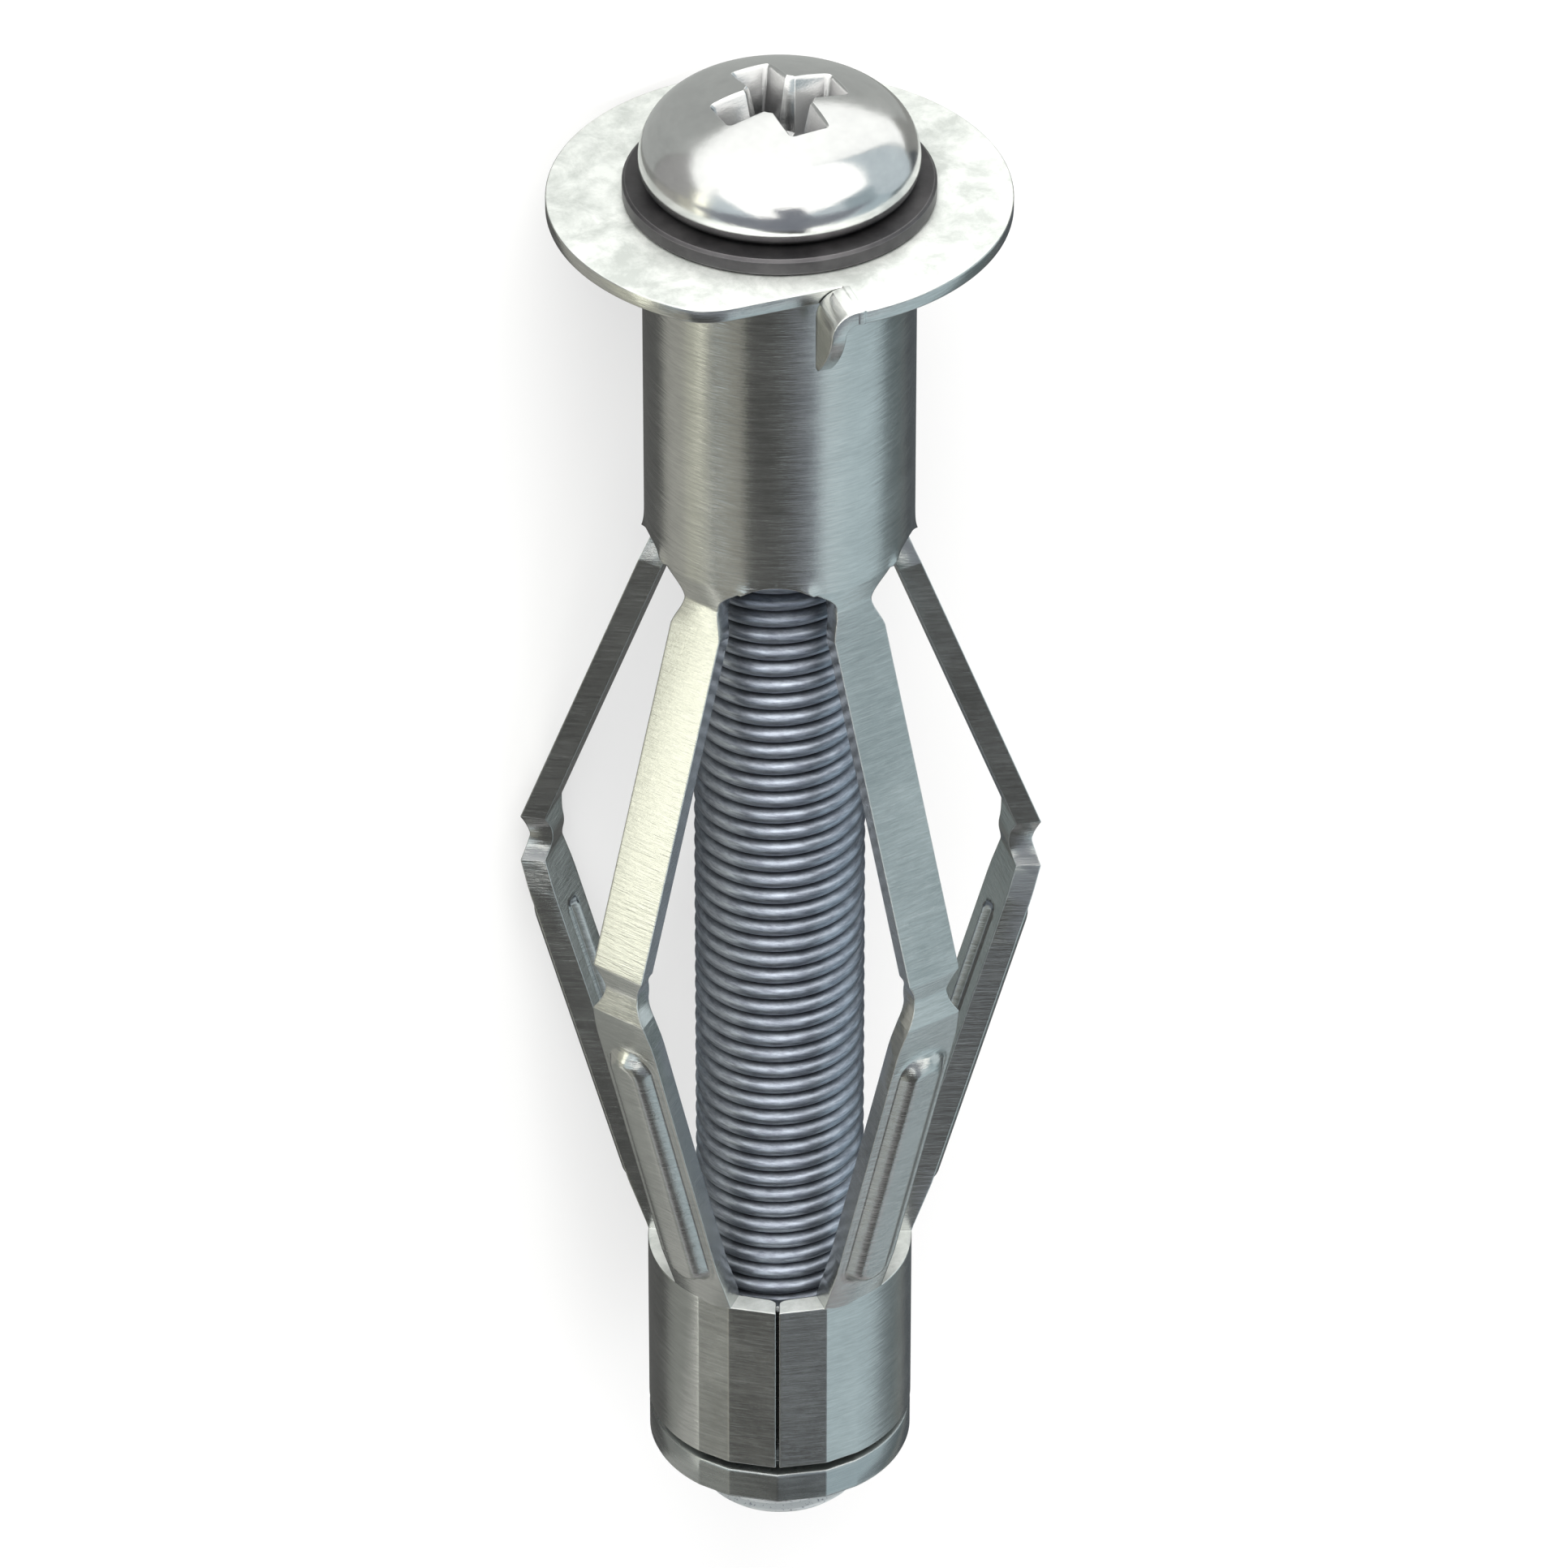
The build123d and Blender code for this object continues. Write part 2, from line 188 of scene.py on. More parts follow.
class SleeveSizes(bpy.types.PropertyGroup):
    """Sizes of the folded sleeve."""

    sheet: FloatProperty(
        name="Sheet", description="Thickness of the collar, legs and band", default=1.05 * MM, **LENGTH)
    flange_radius: FloatProperty(
        name="Flange radius", description="Radius of the flange", default=10.0 * MM, **LENGTH)
    flange_thickness: FloatProperty(
        name="Flange thickness", description="Thickness of the flange and claws",
        default=0.65 * MM, **LENGTH)
    collar_radius: FloatProperty(
        name="Collar radius", description="Outside radius of the collar", default=5.9 * MM, **LENGTH)
    collar_length: FloatProperty(
        name="Collar length", description="Height at which the legs leave the collar",
        default=16.25 * MM, **LENGTH)
    petal_block: FloatProperty(
        name="Petal block", description="Length of collar over which the rows bend to the windows' arches",
        default=1.35 * MM, **LENGTH)
    arch_radius: FloatProperty(
        name="Arch radius", description="Radius of a window's arch", default=2.6 * MM, **LENGTH)
    arch_rise: FloatProperty(
        name="Arch rise", description="Depth of the arch above the legs' start", default=0.5 * MM, **LENGTH)
    barb: FloatProperty(
        name="Barb", description="How far the windows' corners stand out of the collar",
        default=0.14 * MM, **LENGTH)
    neck_length: FloatProperty(
        name="Neck length", description="Length of the fold at the neck", default=2.45 * MM, **LENGTH)
    neck_waist: FloatProperty(
        name="Neck waist", description="Narrowest width of the neck", default=1.83 * MM, **LENGTH)
    neck_dip: FloatProperty(
        name="Neck dip", description="How far the neck's fold dips inwards", default=0.35 * MM, **LENGTH)
    shoulder_rise: FloatProperty(
        name="Shoulder rise", description="How far the shoulder stands out of the collar",
        default=0.2 * MM, **LENGTH)
    arm_width: FloatProperty(
        name="Arm width", description="Width of the upper leg", default=2.65 * MM, **LENGTH)
    knee_radius: FloatProperty(
        name="Knee radius", description="Distance of the knees from the axis", default=11.8 * MM, **LENGTH)
    knee_height: FloatProperty(
        name="Knee height", description="Height at which the knee's fold starts",
        default=33.75 * MM, **LENGTH)
    knee_length: FloatProperty(
        name="Knee length", description="Length of the fold at the knee", default=2.35 * MM, **LENGTH)
    knee_waist: FloatProperty(
        name="Knee waist", description="Narrowest width of the knee", default=1.75 * MM, **LENGTH)
    knee_dip: FloatProperty(
        name="Knee dip", description="How far the knee's fold dips inwards", default=0.3 * MM, **LENGTH)
    shin_start_width: FloatProperty(
        name="Shin start width", description="Width of the lower leg at the knee",
        default=2.75 * MM, **LENGTH)
    shin_width: FloatProperty(
        name="Shin width", description="Width of the lower leg", default=3.15 * MM, **LENGTH)
    shin_flare: FloatProperty(
        name="Shin flare", description="Height over which the lower leg widens",
        default=1.44 * MM, **LENGTH)
    foot_bend: FloatProperty(
        name="Foot bend", description="Length over which the flat leg rounds to the band",
        default=2.6 * MM, **LENGTH)
    crown: FloatProperty(
        name="Crown", description="Share of the collar's curve that the legs keep",
        default=0.1, min=0, max=1, subtype="FACTOR")
    tenon_length: FloatProperty(
        name="Tenon length", description="How far a leg runs on into the band", default=0.45 * MM, **LENGTH)
    rib_width: FloatProperty(
        name="Rib width", description="Width of the pressed rib", default=2.35 * MM, **LENGTH)
    rib_height: FloatProperty(
        name="Rib height", description="Height of the pressed rib", default=0.58 * MM, **LENGTH)
    rib_step_width: FloatProperty(
        name="Rib step width", description="Width of the thin step round the rib",
        default=0.2 * MM, **LENGTH)
    rib_step_height: FloatProperty(
        name="Rib step height", description="Height of the thin step round the rib",
        default=0.035 * MM, **LENGTH)
    rib_top_margin: FloatProperty(
        name="Rib top margin", description="Distance from the knee to the rib", default=2.2 * MM, **LENGTH)
    rib_foot_margin: FloatProperty(
        name="Rib foot margin", description="Distance from the rib to the band",
        default=1.65 * MM, **LENGTH)
    groove_width: FloatProperty(
        name="Groove width", description="Width of the rib's hollow side", default=1.3 * MM, **LENGTH)
    groove_depth: FloatProperty(
        name="Groove depth", description="Depth of the rib's hollow side", default=0.4 * MM, **LENGTH)
    band_radius: FloatProperty(
        name="Band radius", description="Outside radius of the band", default=6.0 * MM, **LENGTH)
    band_height: FloatProperty(
        name="Band height", description="Height at which the band starts", default=55.15 * MM, **LENGTH)
    band_length: FloatProperty(
        name="Band length", description="Length of the band", default=8.9 * MM, **LENGTH)
    slit_width: FloatProperty(
        name="Slit width", description="Width of the band's slit", default=0.15 * MM, **LENGTH)
    claw_root: FloatProperty(
        name="Claw root", description="Distance of the claws' inner edge from the axis",
        default=7.92 * MM, **LENGTH)
    notch_depth: FloatProperty(
        name="Notch depth", description="Distance of the notch from the axis beside the claw",
        default=7.87 * MM, **LENGTH)
    claw_bend: FloatProperty(
        name="Claw bend", description="Inner radius of the claws' bend", default=0.55 * MM, **LENGTH)
    claw_depth: FloatProperty(
        name="Claw depth", description="Reach of a claw below the bearing face",
        default=3.15 * MM, **LENGTH)
    claw_tip: FloatProperty(
        name="Claw tip", description="Width of a claw's tip", default=0.27 * MM, **LENGTH)
    claw_bow: FloatProperty(
        name="Claw bow", description="Bow of a claw's outer edge at its middle",
        default=0.2475 * MM, **LENGTH)
    notch_corner: FloatProperty(
        name="Notch corner", description="Radius where a notch runs out of the rim",
        default=3.0 * MM, **LENGTH)
    edge: FloatProperty(
        name="Edge", description="Width of the softened edges", default=0.07 * MM, **LENGTH)
    slit_angle: FloatProperty(
        name="Slit angle", description="Angle of the slit from the first leg",
        default=radians(36.0), subtype="ANGLE")
    inner_crease: FloatProperty(
        name="Inner crease", description="Angle from the slit to the nearer crease",
        default=radians(22.0), subtype="ANGLE")
    outer_crease: FloatProperty(
        name="Outer crease", description="Angle from the slit to the farther crease",
        default=radians(37.0), subtype="ANGLE")
    claw_angle: FloatProperty(
        name="Claw angle", description="Angle of the first claw from the first leg",
        default=radians(15.5), subtype="ANGLE")
    notch_angle: FloatProperty(
        name="Notch angle", description="Angle that a notch takes", default=radians(37.5), subtype="ANGLE")


class NutSizes(bpy.types.PropertyGroup):
    """Sizes of the nut."""

    bore_radius: FloatProperty(
        name="Bore radius", description="Radius of the threaded bore", default=3.85 * MM, **LENGTH)
    bore_bevel: FloatProperty(
        name="Bore bevel", description="Bevel at the ends of the bore", default=0.4 * MM, **LENGTH)
    body_radius: FloatProperty(
        name="Body radius", description="Radius of the body inside the band", default=4.91 * MM, **LENGTH)
    body_start: FloatProperty(
        name="Body start", description="Height at which the body starts", default=55.7 * MM, **LENGTH)
    ring_radius: FloatProperty(
        name="Ring radius", description="Radius of the ring below the band", default=5.98 * MM, **LENGTH)
    ring_start: FloatProperty(
        name="Ring start", description="Height at which the ring starts", default=64.47 * MM, **LENGTH)
    ring_end: FloatProperty(
        name="Ring end", description="Height at which the ring ends", default=66.1 * MM, **LENGTH)
    ring_edge: FloatProperty(
        name="Ring edge", description="Rounding of the ring's edges", default=0.17 * MM, **LENGTH)


class FinishColours(bpy.types.PropertyGroup):
    """Colours of the plated and darkened surfaces."""

    sheet_light: FloatVectorProperty(
        name="Sheet, light", description="Clean zinc on the sleeve", default=(0.7, 0.71, 0.69), **COLOUR)
    sheet_dark: FloatVectorProperty(
        name="Sheet, dark", description="Dull zinc on the sleeve", default=(0.48, 0.49, 0.475), **COLOUR)
    pressed_light: FloatVectorProperty(
        name="Pressed, light", description="Clean zinc on the flange and the cut rims",
        default=(0.78, 0.8, 0.78), **COLOUR)
    pressed_dark: FloatVectorProperty(
        name="Pressed, dark", description="Dull zinc on the flange and the cut rims",
        default=(0.54, 0.565, 0.545), **COLOUR)
    nut_light: FloatVectorProperty(
        name="Nut, light", description="Clean zinc on the nut", default=(0.56, 0.58, 0.57), **COLOUR)
    nut_dark: FloatVectorProperty(
        name="Nut, dark", description="Dull zinc on the nut", default=(0.4, 0.42, 0.42), **COLOUR)
    head_light: FloatVectorProperty(
        name="Head, light", description="Clean zinc on the screw's head",
        default=(0.66, 0.66, 0.655), **COLOUR)
    head_dark: FloatVectorProperty(
        name="Head, dark", description="Dull zinc on the screw's head",
        default=(0.56, 0.56, 0.56), **COLOUR)
    recess_dark: FloatVectorProperty(
        name="Recess, dark", description="Shaded zinc in the screw's recess",
        default=(0.17, 0.17, 0.175), **COLOUR)
    # Zinc on the thread, painted darker and bluer than the head as shade and sky reflection
    shaded_shank_light: FloatVectorProperty(
        name="Shank, light", description="Clean zinc on the thread", default=(0.42, 0.46, 0.53), **COLOUR)
    shaded_shank_dark: FloatVectorProperty(
        name="Shank, dark", description="Dull zinc on the thread", default=(0.22, 0.24, 0.285), **COLOUR)
    tip_pale: FloatVectorProperty(
        name="Tip, pale", description="Bare cut end of the screw", default=(0.62, 0.65, 0.66), **COLOUR)
    washer_light: FloatVectorProperty(
        name="Washer, light", description="Worn oxide on the washer",
        default=(0.075, 0.072, 0.075), **COLOUR)
    washer_dark: FloatVectorProperty(
        name="Washer, dark", description="Full oxide on the washer",
        default=(0.045, 0.043, 0.046), **COLOUR)
    # Painted shade: a colour that darkens the folds, joins and thread roots where shade falls, not oil and
    # dust
    painted_shade: FloatVectorProperty(
        name="Painted shade", description="Oil and dust in the folds and thread roots",
        default=(0.05, 0.052, 0.058), **COLOUR)


class StageSettings(bpy.types.PropertyGroup):
    """Floor, lamps and camera."""

    part_turn: FloatProperty(
        name="Part turn", description="Angle from the first leg to the side that faces the camera",
        default=radians(35), subtype="ANGLE")
    camera_elevation: FloatProperty(
        name="Camera elevation", description="Angle at which the camera looks down the axis",
        default=radians(35.117), subtype="ANGLE")
    camera_side: FloatProperty(
        name="Camera side", description="Camera's place to the right of the axis",
        default=0.19 * MM, **LENGTH)
    camera_front: FloatProperty(
        name="Camera front", description="Camera's distance in front of the axis",
        default=401.7 * MM, **LENGTH)
    camera_height: FloatProperty(
        name="Camera height", description="Camera's place above the bearing face, towards the head",
        default=252.34 * MM, **LENGTH)
    lens: FloatProperty(
        name="Lens", description="Focal length in millimetres for a 36 mm sensor", default=254.93)
    lamp_distance: FloatProperty(
        name="Lamp distance", description="Distance of the lamp from the part's middle",
        default=0.9, unit="LENGTH")
    lamp_size: FloatProperty(
        name="Lamp size", description="Side of the square lamp", default=0.7, unit="LENGTH")
    lamp_power: FloatProperty(
        name="Lamp power", description="Power of the lamp in watts", default=16.0, min=0)
    lamp_colour: FloatVectorProperty(
        name="Lamp colour", description="Colour of the lamp's light", default=(1.0, 0.99, 0.95), **COLOUR)
    floor_size: FloatProperty(
        name="Floor size", description="Side of the square floor", default=6.0, unit="LENGTH")
    floor_glow: FloatProperty(
        name="Floor glow", description="Share of plain white that the camera sees in the floor",
        default=0.5, min=0, max=1, subtype="FACTOR")
    floor_in_metal: FloatVectorProperty(
        name="Floor in metal", description="Colour of the floor as the metal mirrors it",
        default=(0.22, 0.225, 0.215), **COLOUR)
    fill_light: FloatProperty(
        name="Fill light", description="Strength of the even light from the world", default=1.0, min=0)
    sky_in_metal: FloatVectorProperty(
        name="Sky in metal", description="Colour of the studio above the floor as the metal mirrors it",
        default=(0.74, 0.84, 0.88), **COLOUR)


# Mesh helpers


def add_object(name, mesh):
    """Links a mesh to the scene as a new object."""
    made = bpy.data.objects.new(name, mesh)
    bpy.context.scene.collection.objects.link(made)
    return made


def around(radius, height, angle):
    """A point round the axis: the angle turns from the first leg, and the height runs to the tip."""
    return Vector((radius * sin(angle), height, radius * cos(angle)))


def skin_rings(bm, rings, closed=True):
    """Joins rings of vertices with quads, and returns the faces."""
    faces = []
    for lower, upper in zip(rings, rings[1:]):
        count = len(lower)
        for i in range(count if closed else count - 1):
            j = (i + 1) % count
            faces.append(bm.faces.new((lower[i], lower[j], upper[j], upper[i])))
    return faces


def to_mesh(bm, name):
    """Turns a bmesh into a mesh whose faces all look outwards."""
    bmesh.ops.recalc_face_normals(bm, faces=bm.faces)
    mesh = bpy.data.meshes.new(name)
    bm.to_mesh(mesh)
    bm.free()
    return mesh


def apply_modifiers(target):
    """Turns the object's modifiers into plain mesh."""
    graph = bpy.context.evaluated_depsgraph_get()
    result = bpy.data.meshes.new_from_object(target.evaluated_get(graph))
    target.modifiers.clear()
    target.data = result


def combine(target, tool, operation):
    """Applies one boolean to the target and deletes the tool."""
    step = target.modifiers.new(operation.lower(), "BOOLEAN")
    step.operation = operation
    step.solver = "EXACT"
    step.object = tool
    apply_modifiers(target)
    bpy.data.objects.remove(tool)


def soften(target, width):
    """Rounds the sharp edges of an object."""
    step = target.modifiers.new("edges", "BEVEL")
    step.width = width
    step.segments = 3
    step.limit_method = "ANGLE"
    step.angle_limit = radians(48)
    step.use_clamp_overlap = True
    apply_modifiers(target)


def smooth_by_angle(mesh, angle):
    """Shades the mesh smooth, apart from edges sharper than the angle."""
    mesh.shade_smooth()
    mesh.set_sharp_from_angle(angle=angle)


def crease_level(mesh, low, high, angle):
    """Keeps the folds between two heights crisp where they are sharper than the angle."""
    bm = bmesh.new()
    bm.from_mesh(mesh)
    for edge in bm.edges:
        heights = [vert.co.y for vert in edge.verts]
        if min(heights) > low and max(heights) < high and edge.calc_face_angle(0) > angle:
            edge.smooth = False
    bm.to_mesh(mesh)
    bm.free()


def shade_by_area(target, angle, crease=None):
    """Smooth shading that keeps large faces flat and edges sharper than the angle crisp."""
    smooth_by_angle(target.data, angle)
    if crease:
        crease_level(target.data, *crease)
    step = target.modifiers.new("normals", "WEIGHTED_NORMAL")
    step.keep_sharp = True
    step.weight = 80
    apply_modifiers(target)


# The screw


def crown_curve(sizes, head_top, head_base):
    """The crown's radius, and the radius and height of the centre of the curve that leads to the belly."""
    belly = head_base - sizes.belly_height
    dome = belly - head_top
    bend = sizes.shoulder_radius
    bend_centre = sizes.head_diameter / 2 - bend
    return (bend_centre**2 + dome**2 - bend**2) / (2 * (dome - bend)), bend_centre, belly


def head_profile(sizes, head_top, head_base):
    """Radii and heights down the head's side, from the crown's middle to the widest ring."""
    crown_steps, shoulder_steps = 20, 16
    bend = sizes.shoulder_radius
    crown_radius, bend_centre, belly = crown_curve(sizes, head_top, head_base)
    crown_centre = head_top + crown_radius
    crown_half_angle = atan2(bend_centre, crown_centre - belly)
    points = []
    for step in range(1, crown_steps + 1):
        angle = crown_half_angle * step / crown_steps
        points.append((crown_radius * sin(angle), crown_centre - crown_radius * cos(angle)))
    for step in range(1, shoulder_steps + 1):
        angle = crown_half_angle + (pi / 2 - crown_half_angle) * step / shoulder_steps
        points.append((bend_centre + bend * sin(angle), belly - bend * cos(angle)))
    return points


def crown_height(sizes, head_top, head_base, radius):
    """Height of the head's crown at one radius."""
    crown_radius = crown_curve(sizes, head_top, head_base)[0]
    return head_top + crown_radius - sqrt(crown_radius**2 - radius**2)


def belly_profile(sizes, head_base):
    """Radii and heights from the head's widest ring down to its base, on a soft curve."""
    steps = 8
    head_radius = sizes.head_diameter / 2
    belly = head_base - sizes.belly_height
    points = []
    for step in range(1, steps + 1):
        angle = pi / 2 * step / steps
        radius = sizes.base_radius + (head_radius - sizes.base_radius) * cos(angle)
        points.append((radius, belly + sizes.belly_height * sin(angle)))
    return points


def make_head(sizes, head_top, head_base):
    """The head without its recess, as a closed turned solid."""
    segments = 144
    bm = bmesh.new()
    crown = bm.verts.new((0, head_top, 0))
    rings = []
    for radius, height in head_profile(sizes, head_top, head_base) + belly_profile(sizes, head_base):
        rings.append([bm.verts.new(around(radius, height, 2 * pi * i / segments)) for i in range(segments)])
    for i in range(segments):
        bm.faces.new((crown, rings[0][i], rings[0][(i + 1) % segments]))
    skin_rings(bm, rings)
    bm.faces.new(rings[-1])
    return add_object("screw_head", to_mesh(bm, "screw_head"))


def recess_outline(sizes, growth):
    """The recess seen from above: a cross with a round middle, grown or shrunk all round."""
    arm = sizes.recess_arm_width / 2 + growth
    reach = sizes.recess_span / 2 + growth
    hub = max(sizes.recess_hub / 2 + growth, arm * 1.02)
    hub_steps = 5
    end_steps = 4
    corner = min(0.28 * arm, 0.35 * MM)
    start = asin(min(arm / hub, 0.7))
    points = []
    for quarter in range(4):
        turn = quarter * pi / 2
        local = [(hub * cos(start), -arm)]
        for step in range(end_steps + 1):
            angle = -pi / 2 + pi / 2 * step / end_steps
            local.append((reach - corner + corner * cos(angle), -arm + corner + corner * sin(angle)))
        for step in range(end_steps + 1):
            angle = pi / 2 * step / end_steps
            local.append((reach - corner + corner * cos(angle), arm - corner + corner * sin(angle)))
        local.append((hub * cos(start), arm))
        for step in range(1, hub_steps):
            angle = start + (pi / 2 - 2 * start) * step / hub_steps
            local.append((hub * cos(angle), hub * sin(angle)))
        points += [(x * cos(turn) - y * sin(turn), x * sin(turn) + y * cos(turn)) for x, y in local]
    return points


def make_recess_tool(sizes, head_top, head_base):
    """The punch that cuts the recess: tapered walls, a bevel that follows the crown and a pointed middle."""
    bevel = sizes.rim_bevel
    mouth = 2.2 * bevel
    wall_depth = 0.8 * sizes.recess_depth
    bm = bmesh.new()

    def ring(growth, height_at):
        """One ring of the punch, grown by so much and as high as its radius asks."""
        row = []
        for x, y in recess_outline(sizes, growth):
            radius = hypot(x, y)
            row.append(bm.verts.new(around(radius, height_at(radius), atan2(y, x) + sizes.recess_turn)))
        return row

    rings = [
        ring(mouth, lambda radius: crown_height(sizes, head_top, head_base, radius) - mouth),
        ring(0, lambda radius: crown_height(sizes, head_top, head_base, radius) + bevel),
        ring(-tan(sizes.recess_taper) * wall_depth, lambda radius: head_top + wall_depth),
    ]
    skin_rings(bm, rings)
    lid = bm.verts.new((0, head_top - 4 * bevel, 0))
    point = bm.verts.new((0, head_top + sizes.recess_depth, 0))
    count = len(rings[0])
    for i in range(count):
        j = (i + 1) % count
        bm.faces.new((lid, rings[0][j], rings[0][i]))
        bm.faces.new((point, rings[-1][i], rings[-1][j]))
    return add_object("recess_tool", to_mesh(bm, "recess_tool"))


def thread_profile(sizes):
    """One pitch of the thread as shares of the pitch and radii: a rounded crest and a narrow root."""
    crest = sizes.crest_diameter / 2
    root = crest - sizes.thread_depth
    half = sizes.crest_share / 2
    rounding = 0.12 * sizes.thread_depth
    shoulder, flank = crest - 0.5 * rounding, crest - 2.2 * rounding
    return [
        (-half, flank), (-0.6 * half, shoulder), (0, crest), (0.6 * half, shoulder), (half, flank),
        (0.44, root + rounding), (0.5, root), (0.56, root + rounding),
    ]


def make_thread(sizes, start, end, facing):
    """The threaded shank as a closed solid: one profile wound round the axis, then cut square."""
    steps = sizes.steps_per_turn
    pitch = sizes.pitch
    profile = thread_profile(sizes)
    spare_turns = 3
    first_turn = int((start - sizes.first_crest) / pitch) - spare_turns
    turns = int((end - start) / pitch) + 2 * spare_turns
    bm = bmesh.new()
    rows = []
    for step in range(turns * steps + 1):
        turn = first_turn + step / steps
        angle = 2 * pi * turn + facing
        centre = sizes.first_crest + pitch * turn
        rows.append([
            bm.verts.new(around(radius, centre + share * pitch, angle)) for share, radius in profile])
    for row, after in zip(rows, rows[1:]):
        for i in range(len(profile) - 1):
            bm.faces.new((row[i], row[i + 1], after[i + 1], after[i]))
    for row, after, above, above_after in zip(rows, rows[1:], rows[steps:], rows[steps + 1:]):
        bm.faces.new((row[-1], above[0], above_after[0], after[-1]))
    for height, outwards in ((start, -1), (end, 1)):
        bmesh.ops.bisect_plane(
            bm, geom=bm.verts[:] + bm.edges[:] + bm.faces[:], plane_co=(0, height, 0),
            plane_no=(0, outwards, 0), clear_outer=True)
    cone_start = end - sizes.tip_bevel
    crest = sizes.crest_diameter / 2
    for vert in bm.verts:
        radius = hypot(vert.co.x, vert.co.z)
        limit = crest - (vert.co.y - cone_start)
        if vert.co.y > cone_start and radius > limit:
            vert.co.x *= limit / radius
            vert.co.z *= limit / radius
    for height in (start, end):
        loop = [e for e in bm.edges if e.is_boundary and abs(e.verts[0].co.y - height) < 1e-7]
        bmesh.ops.edgeloop_fill(bm, edges=loop)
    bmesh.ops.dissolve_degenerate(bm, dist=1e-8, edges=bm.edges)
    return add_object("screw_thread", to_mesh(bm, "screw_thread"))


class ANCHOR_OT_screw(bpy.types.Operator):
    """Turn the screw with its domed head, cross recess and fine thread"""

    bl_idname = "anchor.screw"
    bl_label = "Screw"

    def execute(self, context):
        scene = context.scene
        sizes = scene.anchor_screw
        facing = scene.anchor_stage.part_turn
        head_top = SCREW_LOW.y
        head_base = WASHER_LOW.y - sizes.seat_gap
        screw = make_head(sizes, head_top, head_base)
        combine(screw, make_recess_tool(sizes, head_top, head_base), "DIFFERENCE")
        inside_head = head_base - sizes.belly_height / 4
        combine(screw, make_thread(sizes, inside_head, SCREW_HIGH.y, facing), "UNION")
        screw.name = "threaded_screw"
        screw.data.name = "threaded_screw"
        smooth_by_angle(screw.data, radians(44))
        screw.data.materials.clear()
        screw.data.materials.append(screw_finish(scene.anchor_colours, sizes))
        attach(screw, "screw")
        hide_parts("screw")
        return {"FINISHED"}


# The sleeve


def leg_axes(angle):
    """Outward and sideways unit vectors of one leg."""
    return Vector((sin(angle), 0, cos(angle))), Vector((cos(angle), 0, -sin(angle)))


def round_steps(share):
    """Eases a share from 0 to 1 on a quarter wave: a crisp start and a soft end."""
    return sin(pi / 2 * max(0.0, min(1.0, share)))


def bent_rows(corners, radii, runs, bend_rows=6):
    """Points of a bent line: an arc at each inner corner, and straight runs cut by their shares."""
    arcs = [[corners[0]]]
    for before, here, after, radius in zip(corners, corners[1:], corners[2:], radii):
        back = (before - here).normalized()
        ahead = (after - here).normalized()
        half_turn = (pi - back.angle(ahead)) / 2
        centre = here + (back + ahead).normalized() * (radius / cos(half_turn))
        start = here + back * (radius * tan(half_turn)) - centre
        end = here + ahead * (radius * tan(half_turn)) - centre
        first = atan2(start.y, start.x)
        sweep = atan2(start.x * end.y - start.y * end.x, start.dot(end))
        angles = [first + sweep * i / bend_rows for i in range(bend_rows + 1)]
        arcs.append([centre + Vector((cos(angle), sin(angle))) * radius for angle in angles])
    arcs.append([corners[-1]])
    rows = []
    for arc, after, shares in zip(arcs, arcs[1:], runs):
        rows += arc
        rows += [arc[-1].lerp(after[0], share) for share in shares]
    return rows + arcs[-1]


def outward(before, after):
    """The outward normal of a line from one (radius, height) point to another."""
    run = (after - before).normalized()
    return Vector((run.y, -run.x))


def inset_corners(corners, depth):
    """The same bent line, set in by the sheet's thickness."""
    moved = []
    last = len(corners) - 1
    for i, here in enumerate(corners):
        first = outward(corners[max(i - 1, 0)], corners[max(i, 1)])
        second = outward(corners[min(i, last - 1)], corners[min(i + 1, last)])
        mitre = (first + second).normalized()
        moved.append(here - mitre * (depth / mitre.dot(first)))
    return moved


def row_normals(rows):
    """Outward normals of the rows, each taken from its neighbours."""
    last = len(rows) - 1
    return [outward(rows[max(i - 1, 0)], rows[min(i + 1, last)]) for i in range(last + 1)]


def even(count):
    """Shares that cut a run into equal steps."""
    return [(i + 1) / (count + 1) for i in range(count)]


class Sheet:
    """Two matching skins of one bent sheet: welds their points and closes their open edges."""

    def __init__(self):
        self.outer = []
        self.inner = []
        self.quads = []
        self.known = {}

    def point(self, outer, inner):
        """The number of a pair of points, one on each skin."""
        key = tuple(round(part / (0.0005 * MM)) for part in outer)
        if key not in self.known:
            self.known[key] = len(self.outer)
            self.outer.append(outer)
            self.inner.append(inner)
        return self.known[key]

    def grid(self, rows):
        """Fills a grid of point numbers with quads."""
        for lower, upper in zip(rows, rows[1:]):
            for i in range(len(lower) - 1):
                ring = (lower[i], lower[i + 1], upper[i + 1], upper[i])
                corners = [corner for place, corner in enumerate(ring) if corner not in ring[:place]]
                if len(corners) > 2:
                    self.quads.append(tuple(corners))

    def closed_object(self, name, edge_width):
        """The sheet as a closed solid with softened edges."""
        count = len(self.outer)
        faces = list(self.quads)
        edges = set()
        for quad in self.quads:
            faces.append(tuple(count + i for i in reversed(quad)))
            edges.update(zip(quad, quad[1:] + quad[:1]))
        for first, second in edges:
            if (second, first) not in edges:
                faces.append((second, first, count + first, count + second))
        mesh = bpy.data.meshes.new(name)
        mesh.from_pydata(self.outer + self.inner, [], faces)
        bm = bmesh.new()
        bm.from_mesh(mesh)
        made = add_object(name, to_mesh(bm, name))
        bpy.data.meshes.remove(mesh)
        soften(made, edge_width)
        return made


def petal_turn(sizes):
    """Half the angle that a leg takes where it leaves the collar, between two windows."""
    arch_reach = sqrt(sizes.arch_radius**2 - (sizes.arch_radius - sizes.arch_rise) ** 2)
    return pi / LEGS - asin(arch_reach / sizes.collar_radius)


